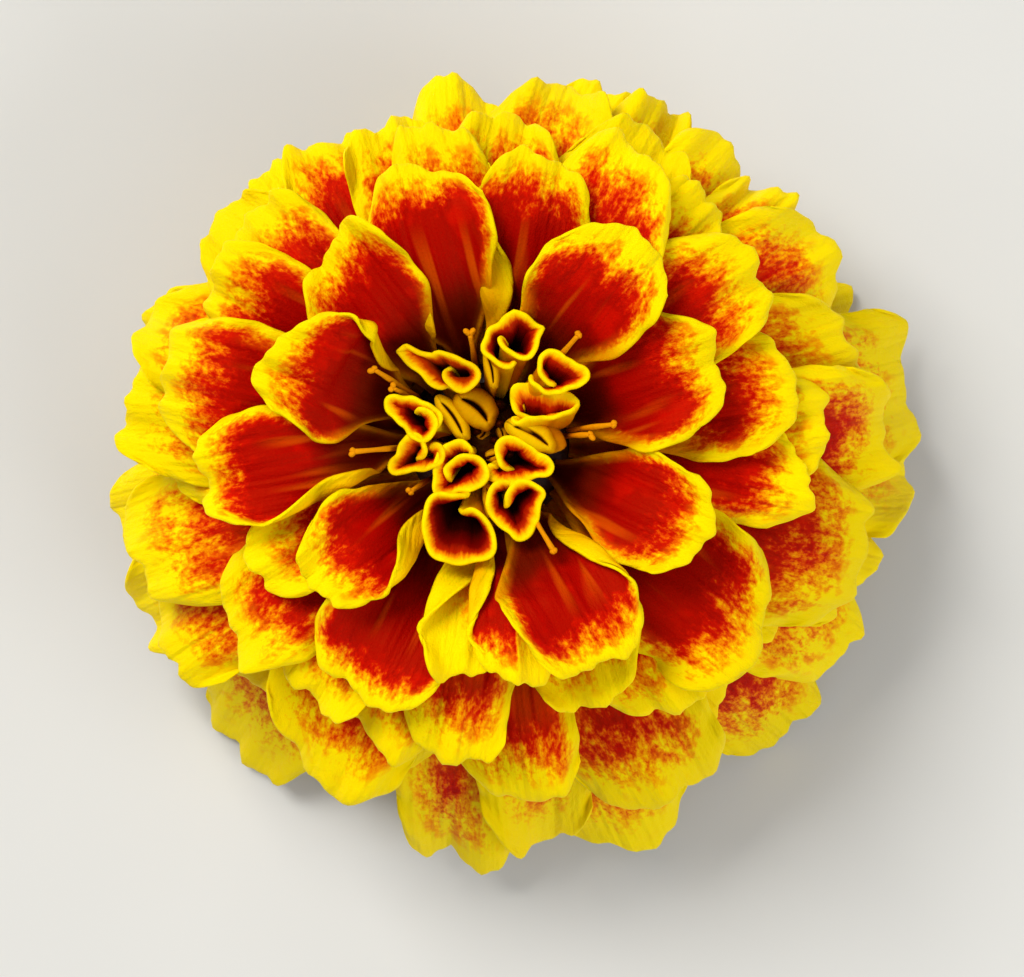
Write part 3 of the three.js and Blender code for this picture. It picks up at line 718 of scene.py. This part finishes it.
def petal_paint():
    """Deep velvety red that breaks up through flame and amber speckles into a bright yellow margin.

    The place on the ramp is the distance inside the yellow band, shifted by three noises that are drawn out
    along the petal. Layers follow: amber haze at the change and glowing patches further in, then, towards
    the root, a dark red painted shade over the middle, flame streaks, an orange side and a dark brown painted
    shade at the end, where the petal lies under the ones above it. The back is golden yellow.
    """
    paint = new_paint("petal_red_and_yellow")
    flat = paint.flat()
    band, along, tint, facing = paint.attributes("band", "along", "tint", "facing")
    fringe = paint.shift(band, 0.2, 0.85)
    shifted = band
    noises = []
    for scale, detail, drawn_out, strength in SPECKLES:
        noises.append(paint.centred(flat, scale, detail, (1, drawn_out, 1)))
        shifted = paint.plus(shifted, paint.times(paint.times(noises[-1], strength), fringe))
    _, dash, patch = noises
    front = paint.ramp(shifted, PETAL_STOPS, BLEND)
    at_change = [(band, 0.15, 0.5), (band, 1.3, 0.7)]
    front = paint.layer(front, (246, 150, 0), (dash, 0.0, 0.2, 0.0, 0.45), (patch, -0.1, 0.1), *at_change)
    front = paint.layer(front, (222, 10, 0), (patch, 0.04, 0.2, 0.0, 0.45), (band, 0.8, 1.5))
    # Painted shade: dark red towards the root, inside the yellow band, where the petal lies under the ones
    # above.
    front = paint.layer(front, (84, 0, 0), (along, 0.66, 0.36), (band, 0.6, 1.4, 0.0, 0.85))
    streak = paint.noise(flat, 0.75, 1.0, (1, 0.09, 1))
    front = paint.layer(front, (222, 84, 0), (streak, 0.57, 0.68, 0.0, 0.6), (along, 0.8, 0.58))
    front = paint.layer(front, (224, 118, 0), (band, 2.2, 0.7, 0.0, 0.8), (along, 0.7, 0.5))
    # Painted shade: dark brown at the root end, deep among the other petals.
    front = paint.layer(front, (96, 14, 0), (along, 0.56, 0.38, 0.0, 0.78), (band, 0.5, 1.3, 0.3, 1.0))
    back = paint.mix(paint.shift(band, 0.2, 2.4), YELLOW, (246, 186, 0))
    back = paint.layer(back, OCHRE, (along, 0.62, 0.3, 0.0, 0.85))
    value = paint.plus(0.93, paint.times(tint, 0.12))
    colour = {"Value": value, "Color": paint.mix(facing, back, front)}
    shaded = paint.add("ShaderNodeHueSaturation", colour).outputs[0]
    height, rough = tissue(paint, flat, 1.5, 0.5)
    crumple = paint.times(paint.noise(flat, 0.9, 3.0, (1, 0.35, 1)), paint.shift(band, 1.2, 0.2, 0.0, 1.6))
    numbers = {"Specular IOR Level": 0.1, **WARM, **SKIN}
    return paint.finish(shaded, rough, paint.plus(height, crumple), 0.0002, numbers)


# The young florets of the centre, each still rolled into a funnel: how far its mouth stands above the
# others', the azimuth and the size of its belly, its ripeness, and the points of its rim from the outer end
# of the sheet to the inner or back, anticlockwise.
RIMS = [
    # Top
    (0.2, 75, 0.2, 1,
        [(1.4, 7.5), (1, 7.3), (0.9, 6.9), (1.3, 6.3), (1.9, 5.9), (2.7, 5.7), (3.1, 6.1), (3.3, 6.9),
         (3.5, 7.7), (3.1, 8.3), (2.5, 8.7), (2, 8.5), (1.5, 8.1), (0.9, 7.7), (0.3, 7.4), (0.1, 6.9),
         (-0.1, 6.2), (0.3, 5.7), (0.8, 5.3), (1.5, 5), (2.3, 5.1)]),
    # Upper right
    (0.3, 320, 0.1, 1,
        [(3.6, 4.4), (3.1, 4.5), (3.1, 4.1), (3.5, 3.7), (4.1, 3.4), (4.9, 3.5), (5.5, 3.7), (6.2, 4),
         (6.5, 4.3), (6.3, 4.7), (5.7, 5.1), (5, 5.5), (4.3, 5.9), (3.9, 5.7), (3.7, 5.3), (3.8, 4.7),
         (4.2, 4.1), (4.7, 3.8), (5.1, 3.6)]),
    # Wide, on the right
    (-0.2, 303, 1.2, 1,
        [(1.6, 2.5), (1.6, 1.8), (2, 1.5), (2.7, 1.7), (3.4, 1.8), (4.1, 1.9), (4.9, 2.1), (5.6, 2.3),
         (6, 2.6), (5.7, 2.9), (5.1, 3.1), (4.3, 3.1), (3.7, 3.3), (3.3, 3.5), (2.7, 3.6), (2, 3.5),
         (1.8, 2.9), (1.9, 2.3), (2.4, 2.1), (3.1, 2.2)]),
    # Right
    (0, 320, 0.3, 1,
        [(0.7, -1.5), (0.2, -1.6), (0, -2), (0.3, -2.5), (1, -2.7), (1.8, -2.7), (2.6, -2.5),
         (3.4, -2.3), (4.1, -2.2), (4.3, -1.8), (3.9, -1.4), (3.2, -1), (2.7, -0.5), (2.1, -0.2),
         (1.3, 0), (0.9, -0.3), (0.8, -1), (1, -1.7), (1.4, -2.1), (1.8, -2.4)]),
    # Lower right
    (0, 300, 0.3, 1,
        [(2.1, -2.8), (1.5, -2.8), (0.8, -3), (0.3, -3.5), (0.2, -4.3), (0.4, -5), (0.9, -5.5),
         (1.6, -6.1), (2.1, -6.5), (2.7, -6.2), (3, -5.6), (3.2, -4.9), (3.5, -4.1), (3.7, -3.6),
         (3.3, -3.2), (2.7, -3), (2.1, -3.1), (1.6, -3.6), (1.3, -4.2), (1.1, -4.9)]),
    # Lower left, the largest
    (0.4, 250, 0.2, 1,
        [(-1.3, -3.4), (-2.3, -3.8), (-3.4, -3.9), (-4, -4.5), (-4.1, -5.6), (-3.9, -6.7), (-3.5, -7.6),
         (-2.6, -7.9), (-1.4, -8), (-0.3, -7.9), (0.3, -7.4), (0.3, -6.5), (-0.2, -5.5), (-0.9, -4.9),
         (-1.5, -4.7), (-2.1, -4.7)]),
    # Low on the left
    (0.2, 225, 0.2, 1,
        [(-0.9, -1.1), (-1.1, -0.5), (-1.8, -0.2), (-2.5, -0.5), (-3.1, -1), (-3.3, -1.9), (-3.3, -2.8),
         (-3.3, -3.5), (-2.7, -3.6), (-1.9, -3.3), (-1.1, -3.1), (-0.5, -2.8), (-0.2, -2.3),
         (-0.3, -1.7), (-0.8, -1.3), (-1.5, -1.2), (-2.1, -1.5), (-2.7, -1.9), (-2.8, -2.5), (-2.7, -3.1)]),
    # Left
    (-0.2, 200, 0.3, 0.8,
        [(-5, -1.6), (-4.5, -1.2), (-4.3, -0.6), (-4.6, 0), (-5.1, 0.1), (-5.6, -0.5), (-5.9, -1.1),
         (-6.3, -1.7), (-6.2, -2.1), (-5.5, -2), (-4.7, -1.8), (-3.9, -1.7), (-3.3, -1.4), (-3.2, -0.7),
         (-3.7, -0.3), (-4.3, -0.4)]),
    # Left, above the last
    (0, 160, 0.3, 1,
        [(-3.5, 0.4), (-3.3, 0.9), (-3.3, 1.6), (-3.7, 2.1), (-4.4, 2.4), (-5.1, 2.6), (-5.9, 2.7),
         (-6.5, 2.7), (-6.5, 2.3), (-6, 1.5), (-5.4, 0.9), (-4.8, 0.3), (-4.3, 0.1), (-3.8, 0.5),
         (-3.7, 1.1), (-3.9, 1.7), (-4.5, 2.1), (-5.2, 2.2)]),
    # Upper left
    (0, 70, 0.7, 0.75,
        [(-2.7, 5), (-3.1, 4.6), (-2.9, 4.1), (-2.3, 3.7), (-1.7, 3.5), (-1.1, 3.8), (-0.8, 4.3),
         (-1.1, 4.8), (-1.7, 5.1), (-2.5, 5.4), (-3.3, 5.7), (-3.7, 5.5), (-4.5, 5.7), (-5.3, 6),
         (-5.9, 6.2), (-5.7, 5.9), (-4.9, 5.1), (-4.2, 4.4), (-3.7, 3.7), (-3.1, 3.3), (-2.5, 3.3)]),
]
MOUTH_HEIGHT = (25, 26.8)  # on the axis and at the ring's radius
MOUTH_RING = 6.4
MOUTH_FLARE = 0.5
FLORET_SWELL = 0.1
FOOT = BOWL_FLOOR + 1.4
FOOT_DRAWN_IN = 0.36  # the foot's distance from the axis, as a share of the mouth's
ROLL_ROOT = 0.5  # the roll's radius at the foot
FLORET_GAP = 0.3
FLORET_THICKNESS = 0.36
FLORET_CELLS = (72, 24)


def rolled_floret(facts, seed):
    """A sheet rolled into a funnel, open on top, with its rim along a smooth curve through the given points.

    Each level is the rim's curve drawn together about its middle, with the height's share to the power 1.3,
    on a line that leans outwards with a belly, a sine of the share to the power 1.6. Along its own normal the
    curve swells by another sine and flares at the mouth. The rim waves, and the sheet's ends are rounded off.
    """
    rise, belly_azimuth, belly, ripe, rim = facts
    curve = smooth_outline(rim, FLORET_CELLS[0] + 1)
    middle = curve.mean(axis=0)
    heading = np.gradient(curve, axis=0)
    outwards = heading[:, ::-1] * (1, -1) / np.linalg.norm(heading, axis=1, keepdims=True)
    run = np.concatenate([[0], np.cumsum(np.linalg.norm(np.diff(curve, axis=0), axis=1))])
    share = np.linalg.norm(middle) / MOUTH_RING
    mouth = np.array([*middle, lerp(MOUTH_HEIGHT, min(share, 1)) + rise])
    root = np.array([*middle * FOOT_DRAWN_IN, FOOT])
    u, v = np.meshgrid(run / run[-1], 1 - (1 - np.linspace(0, 1, FLORET_CELLS[1] + 1)) ** 1.5)
    ends = np.abs(2 * u - 1)
    along = v * (1 - 0.16 * ends**10)
    size = np.linalg.norm(curve - middle, axis=1).mean()
    drawn = lerp((min(ROLL_ROOT / size, 1), 1), along**1.3)
    lean = belly * np.sin(np.pi * along**1.6)
    points = root + (mouth - root) * along[..., None] + outward(belly_azimuth) * lean[..., None]
    flare = MOUTH_FLARE * (1 + waves(3 * u, seed + 0.2, (0.3, 0.3, 0.2)))
    spread = FLORET_SWELL * np.sin(np.pi * along**2.2) ** 0.6
    spread = spread + flare * (ease(along, 0.86, 1) - 0.6 * ease(along, 0.3, 0.8))
    points[..., :2] += (curve - middle) * drawn[..., None] + outwards * spread[..., None]
    points[..., 2] += v**3 * waves(3 * u, seed + 0.5, (0.1, 0.16, 0.07))
    tall = np.linalg.norm(mouth - root)
    band = np.minimum(tall * (1 - v), (1 - ends) / 2 * run[-1] * drawn)
    fields = {"band": band, "along": along, "uv": flat_place(u * run[-1], tall * v, seed, 30)}
    outline = np.minimum(band, tall * v)
    return sheet_shell(keep_to(-1, points, FLORET_GAP), outline, FLORET_THICKNESS, fields, {"ripe": ripe})


# The florets of the centre that are still shut: the place of the slit, half the length and half the width,
# the slit's azimuth, the top's height, the belly and the ripeness.
SHUT = [
    (-0.75, 2.1, 1.7, 1.25, 139, 25.3, 0.3, 0.1),
    (3, 0.35, 1.9, 0.95, 151, 25.7, 1.3, 0.45),
    (0.27, 4.7, 1.35, 0.5, 102, 25.8, 0.3, 0.25),
    (-2.3, 1.5, 1.85, 0.72, 124, 25.3, 0.3, 0.35),
    (0.1, -4, 1.2, 0.42, 97, 25.2, 0.2, 0.1),
    (1, 0.5, 0.5, 0.36, 110, 24, 0, 0),
    (0.35, -1.05, 0.48, 0.4, 20, 24.1, 0, 0.1),
    (-0.25, 0.45, 0.55, 0.5, 60, 23.7, 0, 0),
]
# The body of a shut floret from the foot to the slit: shares of its width and its length, then its height
# above the foot as a share up to the shoulder, and how far it lies below that height, in widths.
SHUT_BODY = [
    (0.4, 0.4, 0, 0), (0.62, 0.62, 0.4, 0), (0.9, 0.92, 0.75, 0), (1, 1, 1, 0.85), (0.95, 0.97, 1, 0.45),
    (0.74, 0.86, 1, 0.12), (0.42, 0.76, 1, 0), (0.2, 0.7, 1, 0.08), (0.1, 0.66, 1, 0.5),
    (0.06, 0.64, 1, 0.95),
]
SHUT_CELLS = (44, 44)


def circle(sides):
    """Even angles around a ring, and the cosine and sine of each."""
    angle = np.arange(sides) * TURN / sides
    return angle, np.stack([np.cos(angle), np.sin(angle)], -1)


def ringed(points, **attributes):
    """A closed body of rings of points: quads between the rings, and over each end ring a flat fan of quads
    that share its first point."""
    rows, columns = points.shape[:2]
    index = np.arange(rows * columns).reshape(rows, columns)
    turned = np.roll(index, -1, axis=1)
    faces = np.stack([index[:-1], turned[:-1], turned[1:], index[1:]], -1).reshape(-1, 4)
    step = np.arange(1, columns - 2, 2)
    foot = np.stack([np.zeros_like(step), step + 2, step + 1, step], -1)
    top = np.stack([np.zeros_like(step), step, step + 1, step + 2], -1) + index[-1, 0]
    return points.reshape(-1, 3), np.concatenate([faces, foot, top]), attributes


def shut_floret(facts, seed):
    """A floret that hasn't opened yet: an upright oval body whose crown sinks into a slit.

    Its rings are ovals through the table's points, drawn in towards the slit's line at the top. The body
    leans outwards with a belly, a sine of the height's share, and its crown is creased by waves.
    """
    x, y, long, wide, azimuth, top, belly, ripe = facts
    broad, length, share, below = np.moveaxis(smooth_outline(SHUT_BODY, SHUT_CELLS[0]), 1, 0)[..., None]
    angle, ring = circle(SHUT_CELLS[1])
    crease = 1 + 0.5 * waves(angle / TURN * 3 + share, seed, (0, 0.06, 0.05)) * np.sin(angle / 2) ** 2
    lengthwise = long * length * ring[:, 0] * crease
    crosswise = wide * broad * ring[:, 1] * crease + 0.1 * wide * np.cos(2 * angle) * share
    axis = outward(azimuth)
    square = axis[[1, 0, 2]] * (-1, 1, 0)
    place = np.array([x, y, 0.0])
    lean = place / np.linalg.norm(place) * belly * np.sin(np.pi * share**1.5)[..., None]
    points = place * (0.45 + 0.55 * share[..., None]) + lean
    points = points + axis * lengthwise[..., None] + square * crosswise[..., None]
    points[..., 2] = FOOT + (top - FOOT) * share - wide * below
    points[..., 2] += 0.3 * wide * share * np.cos(angle - 1) * length
    points = keep_to(-1, points, FLORET_GAP)
    inside = ease(np.linspace(0, 1, SHUT_CELLS[0]), 0.82, 0.92)[:, None]
    ones = np.ones(share.size * angle.size)
    return ringed(
        points,
        facing=0 * ones,
        band=(np.maximum(top - points[..., 2], 0) + 4 * inside).reshape(-1),
        along=np.maximum(share + 0 * angle, 0).reshape(-1),
        uv=np.stack([angle * wide + 0 * share, points[..., 2]], -1).reshape(-1, 2),
        ripe=ripe * ones,
    )


# The colours of a young floret from the rim down, each at shares of a depth in millimetres. The dark
# ends are painted shade, deeper down in the roll and between the florets.
FLORET_INSIDE = [
    (0, *YELLOW), (0.09, 250, 196, 0), (0.14, *ORANGE), (0.2, 176, 26, 0), (0.32, 112, 0, 0), (0.8, 40, 0, 0),
]
FLORET_OUTSIDE = [(0, *YELLOW), (0.08, 246, 190, 0), (0.2, 216, 132, 0), (0.45, 174, 80, 0), (1, 84, 22, 0)]
UNRIPE = [(0, 192, 120, 0), (0.1, 166, 84, 0), (0.32, 110, 38, 0), (0.9, 36, 4, 0)]
DEPTHS = {"inside": 3.0, "outside": 6.0, "unripe": 5.0}


def floret_paint():
    """Young floret: bright yellow at the rim, red inside and golden outside, with painted shade that darkens
    the inside to nearly black and the outside to brown further down, and nearly black at the root. The
    unripe ones are ochre at the rim, darkened the same way by painted shade."""
    paint = new_paint("young_floret_gold")
    flat = paint.flat()
    band, along, ripe, facing = paint.attributes("band", "along", "ripe", "facing")
    shifted = paint.plus(band, paint.times(paint.centred(flat, 3.0, 4.0, (1, 0.5, 1)), 0.5))
    inside = paint.ramp(shifted, FLORET_INSIDE, DEPTHS["inside"])
    outside = paint.ramp(shifted, FLORET_OUTSIDE, DEPTHS["outside"])
    unripe = paint.ramp(shifted, UNRIPE, DEPTHS["unripe"])
    share = paint.times(paint.math("SUBTRACT", 1.0, ripe), 0.9)
    colour = paint.mix(share, paint.mix(facing, outside, inside), unripe)
    # Painted shade: nearly black brown low on the florets, down in the bowl between them.
    colour = paint.layer(colour, (46, 8, 0), (along, 0.55, 0.2, 0.0, 0.7))
    height, rough = tissue(paint, flat, 0.8, 0.5)
    numbers = {"Specular IOR Level": 0.12, **WARM, **SKIN, "Subsurface Scale": 0.0008}
    return paint.finish(colour, rough, height, 0.0001, numbers)


def tube(path, radii, sides=14):
    """A closed tube along a path: rings of a circle in the plane square to the path. The radii at both ends
    are nearly 0, so the end rings close to a point."""
    heading = np.gradient(path, axis=0)
    heading = heading / np.linalg.norm(heading, axis=1, keepdims=True)
    sideways = np.cross(heading, (0.3, 0.2, 1.0))
    sideways = sideways / np.linalg.norm(sideways, axis=1, keepdims=True)
    upright = np.cross(heading, sideways)
    _, ring = circle(sides)
    ring = sideways[:, None] * ring[:, :1] + upright[:, None] * ring[:, 1:]
    return ringed(path[:, None] + ring * radii[:, None, None])


# The styles that lean out between the florets: azimuth, the radius at which each comes out and that of its
# tip, the tip's height, and the length and spread of the fork's arms.
STYLES = [
    (99, 5.5, 7.2, 26, 0.5, 30), (49, 7.3, 9.3, 27.9, 0.5, 30), (7, 6.7, 8.5, 27.6, 0.5, 30),
    (3, 5.9, 6.9, 26.6, 0.45, 40), (301, 6, 8.7, 27.4, 0.5, 30), (185, 6.3, 9, 27.7, 0.5, 25),
    (148, 7.2, 8.9, 27.5, 0.45, 35), (151, 6.2, 7.2, 26.4, 0.4, 45), (214, 5, 6.2, 25.6, 0.45, 45),
]
STYLE_RADIUS = 0.18
STYLE_DEPTH = 5


def rounded_ends(share, length):
    """Radii of a tube with round ends: half circles of the style's radius at both ends of the length."""
    short = 1 - np.clip(np.minimum(share, 1 - share) * length / STYLE_RADIUS, 0, 1)
    return np.sqrt(np.maximum(1 - short**2, 0.002))


def style(facts, seed):
    """A style: a tube along a quadratic curve that rises between the florets and leans out, and two short
    arms. The tubes' ends are rounded as half circles."""
    azimuth, foot, radius, height, arm, spread = facts
    t = np.linspace(0, 1, 26)[:, None]
    way_out = outward(azimuth)
    root = way_out * (foot - 0.6) + (0, 0, height - STYLE_DEPTH)
    knee = way_out * foot + (0, 0, height - 0.6)
    tip = way_out * radius + (0, 0, height)
    stem = keep_to(-1, root * (1 - t) ** 2 + 2 * knee * t * (1 - t) + tip * t**2, FLORET_GAP)
    swell = 1 + 0.12 * np.sin(9 * t[:, 0] + 6 * chance(seed, 1))
    tubes = [tube(stem, STYLE_RADIUS * swell * rounded_ends(t[:, 0], STYLE_DEPTH))]
    for side in (-1, 1):
        length = arm * (0.5 + 0.6 * chance(seed, 7 + side))
        way = outward(azimuth + side * spread) * length + (0, 0, 0.3 * length)
        curl = outward(azimuth + side * (spread + 60)) * length * 0.25
        tubes.append(tube(stem[-2] + way * t + curl * t**2, 1.1 * STYLE_RADIUS * rounded_ends(t[:, 0], arm)))
    return tubes


# Folded buds on the centre's dome, set out by the golden angle and growing outwards.
BUDS = 30
GOLDEN_ANGLE = 137.5
BUD_CELLS = (14, 16)
BUD_RING = 3.3
BUD_SIZE = (0.55, 1.05)  # from the innermost to the outermost
BUD_BASE = (BOWL_FLOOR + 2.6, BOWL_FLOOR + 1.4)
BUD_HEIGHT = (2.4, 3.3)  # by chance


def bud(number):
    """A closed young floret: an upright oval with a spiral crease. Its radius is a sine of the height's
    share."""
    share = (number + 0.5) / BUDS
    place = outward(number * GOLDEN_ANGLE) * BUD_RING * share**0.5
    t = np.linspace(0.02, 0.99, BUD_CELLS[0])[:, None]
    angle, ring = circle(BUD_CELLS[1])
    crease = 1 - 0.16 * np.cos(2 * (angle + 2.5 * t + number)) ** 8
    radius = lerp(BUD_SIZE, share) * np.sin(np.pi * t**0.75) ** 0.7 * crease
    corners = np.zeros((*BUD_CELLS, 3))
    corners[..., :2] = ring * (1, 0.8) * radius[..., None] + (place + place * 0.25 * t)[:, None, :2]
    corners[..., 2] = lerp(BUD_BASE, share) + lerp(BUD_HEIGHT, chance(number, 3)) * t
    return ringed(corners)


def lathe(outline, sides):
    """Rings of points about the axis, one for each radius and height of an outline."""
    corners = np.zeros((len(outline), sides, 3))
    corners[..., :2] = circle(sides)[1] * outline[:, None, :1]
    corners[..., 2] = outline[:, None, 1]
    return corners


def golden_paint(name, heights, share, grain, stops, roughness):
    """A grained colour that changes with the height, in metres: the ramp's place is the eased height and the
    grain's share together."""
    paint = new_paint(name)
    place, height = paint.place()
    cells = paint.noise(place, grain[0], 3.0)
    where = paint.plus(paint.shift(height, *heights, 0.0, share), paint.times(cells, grain[1]))
    colour = paint.ramp(where, stops)
    return paint.finish(colour, roughness, cells, 0.00008, {"Specular IOR Level": 0.2, **WARM})


def style_paint():
    """Styles: golden with a fine grain, darkened by painted shade towards the root, down between the florets.
    """
    stops = [(0, 110, 30, 0), (0.5, 190, 96, 0), (1, 230, 148, 4)]
    return golden_paint("style_gold", (0.0215, 0.0262), 0.8, (4200.0, 0.25), stops, 0.55)


def bud_paint():
    """Closed buds: dull ochre on top, with painted shade that turns them brown and then nearly black red
    lower down between them.
    """
    stops = [(0.1, 20, 0, 0), (0.6, 66, 12, 0), (1, 140, 70, 4)]
    return golden_paint("bud_ochre", (0.0225, 0.0262), 0.85, (2600.0, 0.2), stops, 0.5)


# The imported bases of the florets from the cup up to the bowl, the crown in the bowl and the dome on it that
# carries the buds, as outlines of radius and height.
CORE = [(0.05, 6.9), (3.1, 6.95), (3.7, 9.6), (3.9, 13.2), (5.4, 13.9), (6.2, 15.2)]
CROWN = [(6.2, 15.2), (5.8, 17.4), (4.2, 18.7), (2, 19), (0.05, 19)]
DOME = [(0.05, 19.3), (3.6, 19.3), (3.8, 20.5), (3.4, 22), (2.1, 23.2), (0.05, 23.6)]


def core_paint():
    """Packed floret bases: pale green and yellow ridges that run up the core, and a dark red-brown painted
    shade on its crown, under the petals and florets.
    """
    paint = new_paint("floret_bases")
    place, height = paint.place()
    ridges = paint.noise(place, 1500.0, 2.0, (1, 1, 0.15))
    colour = paint.ramp(ridges, [(0.3, 96, 78, 20), (0.55, 176, 160, 60), (0.75, 214, 206, 120)])
    # Painted shade: dark red-brown on the crown, under the petals and florets.
    colour = paint.layer(colour, (44, 8, 0), (height, 0.0135, 0.0155))
    return paint.finish(colour, 0.6, ridges, 0.0002, {})


# The green cup of fused bracts, each with a rib and a pointed tooth, on the stub of stalk. Its outline's
# points have a radius, a height and shares of a rib and of a tooth.
STALK_RADIUS = 2.1
BRACTS = 8
CUP_SIDES = BRACTS * 40
CUP_RIM = 11.8
CUP_FLOOR = 6.6
TOOTH = 1.3
RIB = 0.3
CUP_FOOT = [(0.02, 0, 0, 0), (1.2, 0, 0, 0), (2.0, 0, 0, 0)]
CUP_OUTSIDE = [
    (STALK_RADIUS, 0.06, 0, 0), (STALK_RADIUS + 0.02, 0.5, 0.1, 0), (STALK_RADIUS + 0.1, 1.2, 0.15, 0),
    (2.7, 2.1, 0.4, 0), (3.5, 3.4, 0.9, 0), (4.0, 4.7, 1, 0), (4.3, 6, 1, 0), (4.62, 7.6, 1, 0),
    (4.85, 9.2, 1, 0), (4.97, 10.3, 0.8, 0.25), (5, CUP_RIM - 0.7, 0.6, 0.5),
    (4.85, CUP_RIM - 0.15, 0.3, 0.9), (4.62, CUP_RIM, 0.1, 1),
]
CUP_INSIDE = [
    (4.4, CUP_RIM - 0.15, 0, 0.95), (4.2, CUP_RIM - 1.2, 0, 0), (4, 9.4, 0, 0), (3.4, CUP_FLOOR, 0, 0),
    (0.02, CUP_FLOOR, 0, 0),
]


def cup_and_stalk():
    """The green body: one outline turned about the axis.

    The ribs are rounded ridges, the absolute cosine of half the bract's angle and its sixth power together,
    with a fine groove between bracts, and the teeth are the same cosine to the power 1.5.
    """
    outline = np.concatenate([CUP_FOOT, smooth_outline(CUP_OUTSIDE, 90), CUP_INSIDE])
    corners = lathe(outline, CUP_SIDES)
    angle, ring = circle(CUP_SIDES)
    peak = np.abs(np.cos(angle * BRACTS / 2))
    ridge = 0.55 * peak + 0.45 * peak**6
    corners[..., :2] += ring * (RIB * outline[:, 2:3] * ridge)[..., None]
    corners[..., 2] += TOOTH * outline[:, 3:4] * peak**1.5
    return ringed(corners, rib=np.tile(peak, len(outline)))


def green_paint():
    """Leaf green with paler ribs, darker grooves and amber oil glands, and a pale cut end."""
    paint = new_paint("bract_green")
    place, height = paint.place()
    (rib,) = paint.attributes("rib")
    cloud = paint.noise(place, 420.0, 3.0, (1, 1, 0.4))
    share = paint.plus(paint.times(rib, 0.6), paint.times(cloud, 0.4))
    colour = paint.ramp(share, [(0.15, 52, 84, 24), (0.5, 88, 126, 44), (0.95, 142, 172, 78)])
    colour = paint.layer(colour, (150, 170, 92), (height, 0.003, 0.0, 0.0, 0.5))
    cells = {"Vector": paint.stretch(place, (620, 620, 300)), "Scale": 1.0}
    distance = paint.add("ShaderNodeTexVoronoi", cells).outputs["Distance"]
    gland = paint.shift(distance, 0.3, 0.18)
    upper = paint.shift(height, 0.005, 0.0075, 0.0, 0.75)
    colour = paint.mix(paint.times(gland, upper), colour, (128, 74, 20))
    colour = paint.layer(colour, (206, 212, 150), (height, 0.00008, 0.00002))
    bumps, rough = tissue(paint, paint.stretch(place, (1000, 1000, 1000)), 0.0, 0.45)
    bumps = paint.plus(paint.plus(bumps, paint.times(cloud, 0.5)), paint.times(gland, 0.6))
    return paint.finish(colour, rough, bumps, 0.00012, {"Specular IOR Level": 0.4, "Subsurface Weight": 0.05})


def build_head():
    """Makes every piece of the head and hangs it on the frame."""
    petals = petal_paint()
    settled = settled_petals()
    for row in ROWS:
        shells = [petal_shell(entry, len(settled)) for entry in settled if entry["row"] == row]
        piece(f"petals_{row}", join(shells), petals, "ray_florets")
    outline = np.concatenate([smooth_outline(CORE, 30), smooth_outline(CROWN, 20)[1:]])
    piece("floret_bases", ringed(lathe(outline, 96)), core_paint(), "ray_florets")

    florets = [rolled_floret(facts, n + 1) for n, facts in enumerate(RIMS)]
    florets += [shut_floret(facts, n + 1) for n, facts in enumerate(SHUT)]
    piece("rolled_florets", join(florets), floret_paint(), "centre_florets")
    styles = [shell for n, facts in enumerate(STYLES) for shell in style(facts, n + 1)]
    piece("styles", join(styles), style_paint(), "centre_florets")
    buds = [bud(n) for n in range(BUDS)] + [ringed(lathe(smooth_outline(DOME, 30), 48))]
    piece("buds", join(buds), bud_paint(), "centre_florets")
    piece("involucre", cup_and_stalk(), green_paint(), "involucre_and_stalk")


# The photograph's size and the flower's axis in it, in pixels, and what one pixel measures on the table.
PHOTO = (1024, 977)
AXIS_PIXEL = (487, 440)
PIXEL = 0.0731
CAMERA_HEIGHT = 300
SENSOR = 36


def add_camera():
    """A camera straight above the flower's axis. The lens follows from the table's width in the picture, and
    the lens is shifted so that the axis falls on its own pixel."""
    data = bpy.data.cameras.new("camera")
    data.sensor_width = SENSOR
    data.lens = SENSOR * CAMERA_HEIGHT / (PHOTO[0] * PIXEL)
    data.shift_x = (PHOTO[0] / 2 - AXIS_PIXEL[0]) / PHOTO[0]
    data.shift_y = -(PHOTO[1] / 2 - AXIS_PIXEL[1]) / PHOTO[0]
    data.clip_start = 0.01
    camera = add_object("camera", data)
    camera.location = (AXIS[0] / 1000, AXIS[1] / 1000, CAMERA_HEIGHT / 1000)
    bpy.context.scene.camera = camera


def add_light(name, place, size, watts, colour):
    """A soft square light that faces the flower's middle."""
    data = bpy.data.lights.new(name, "AREA")
    data.size = size
    data.energy = watts
    data.color = colour
    lamp = add_object(name, data)
    lamp.location = place
    away = np.array(place) - (0, 0, 0.015)
    away = away / np.linalg.norm(away)
    lamp.rotation_euler = (np.arccos(away[2]), 0, np.arctan2(away[1], away[0]) + np.pi / 2)


def table_paint():
    """A pale matt table with a faint cloud in its tone."""
    paint = new_paint("table_pale")
    cloud = paint.noise(paint.place()[0], 14.0, 3.0)
    colour = paint.ramp(cloud, [(0.3, 206, 206, 202), (0.7, 214, 214, 210)])
    return paint.finish(colour, 0.8, cloud, 0.0, {})


def build_studio():
    """The table, the lights and the camera."""
    mesh = bpy.data.meshes.new("table")
    half = 2.0
    corners = [(-half, -half, 0), (half, -half, 0), (half, half, 0), (-half, half, 0)]
    mesh.from_pydata(corners, [], [(0, 1, 2, 3)])
    mesh.materials.append(table_paint())
    add_object("table", mesh)
    add_light("window", (-0.28, 0.3, 0.5), 0.3, 3.7, (1.0, 0.98, 0.95))
    add_light("reflector", (0.35, -0.25, 0.3), 0.4, 1.3, (0.99, 0.99, 1.0))
    world = bpy.data.worlds.new("room")
    world.use_nodes = True
    background = world.node_tree.nodes["Background"].inputs
    background["Color"].default_value = (1.0, 1.0, 1.0, 1.0)
    background["Strength"].default_value = 0.38
    bpy.context.scene.world = world
    bpy.context.scene.view_settings.view_transform = "Standard"
    add_camera()


build_head()
build_studio()
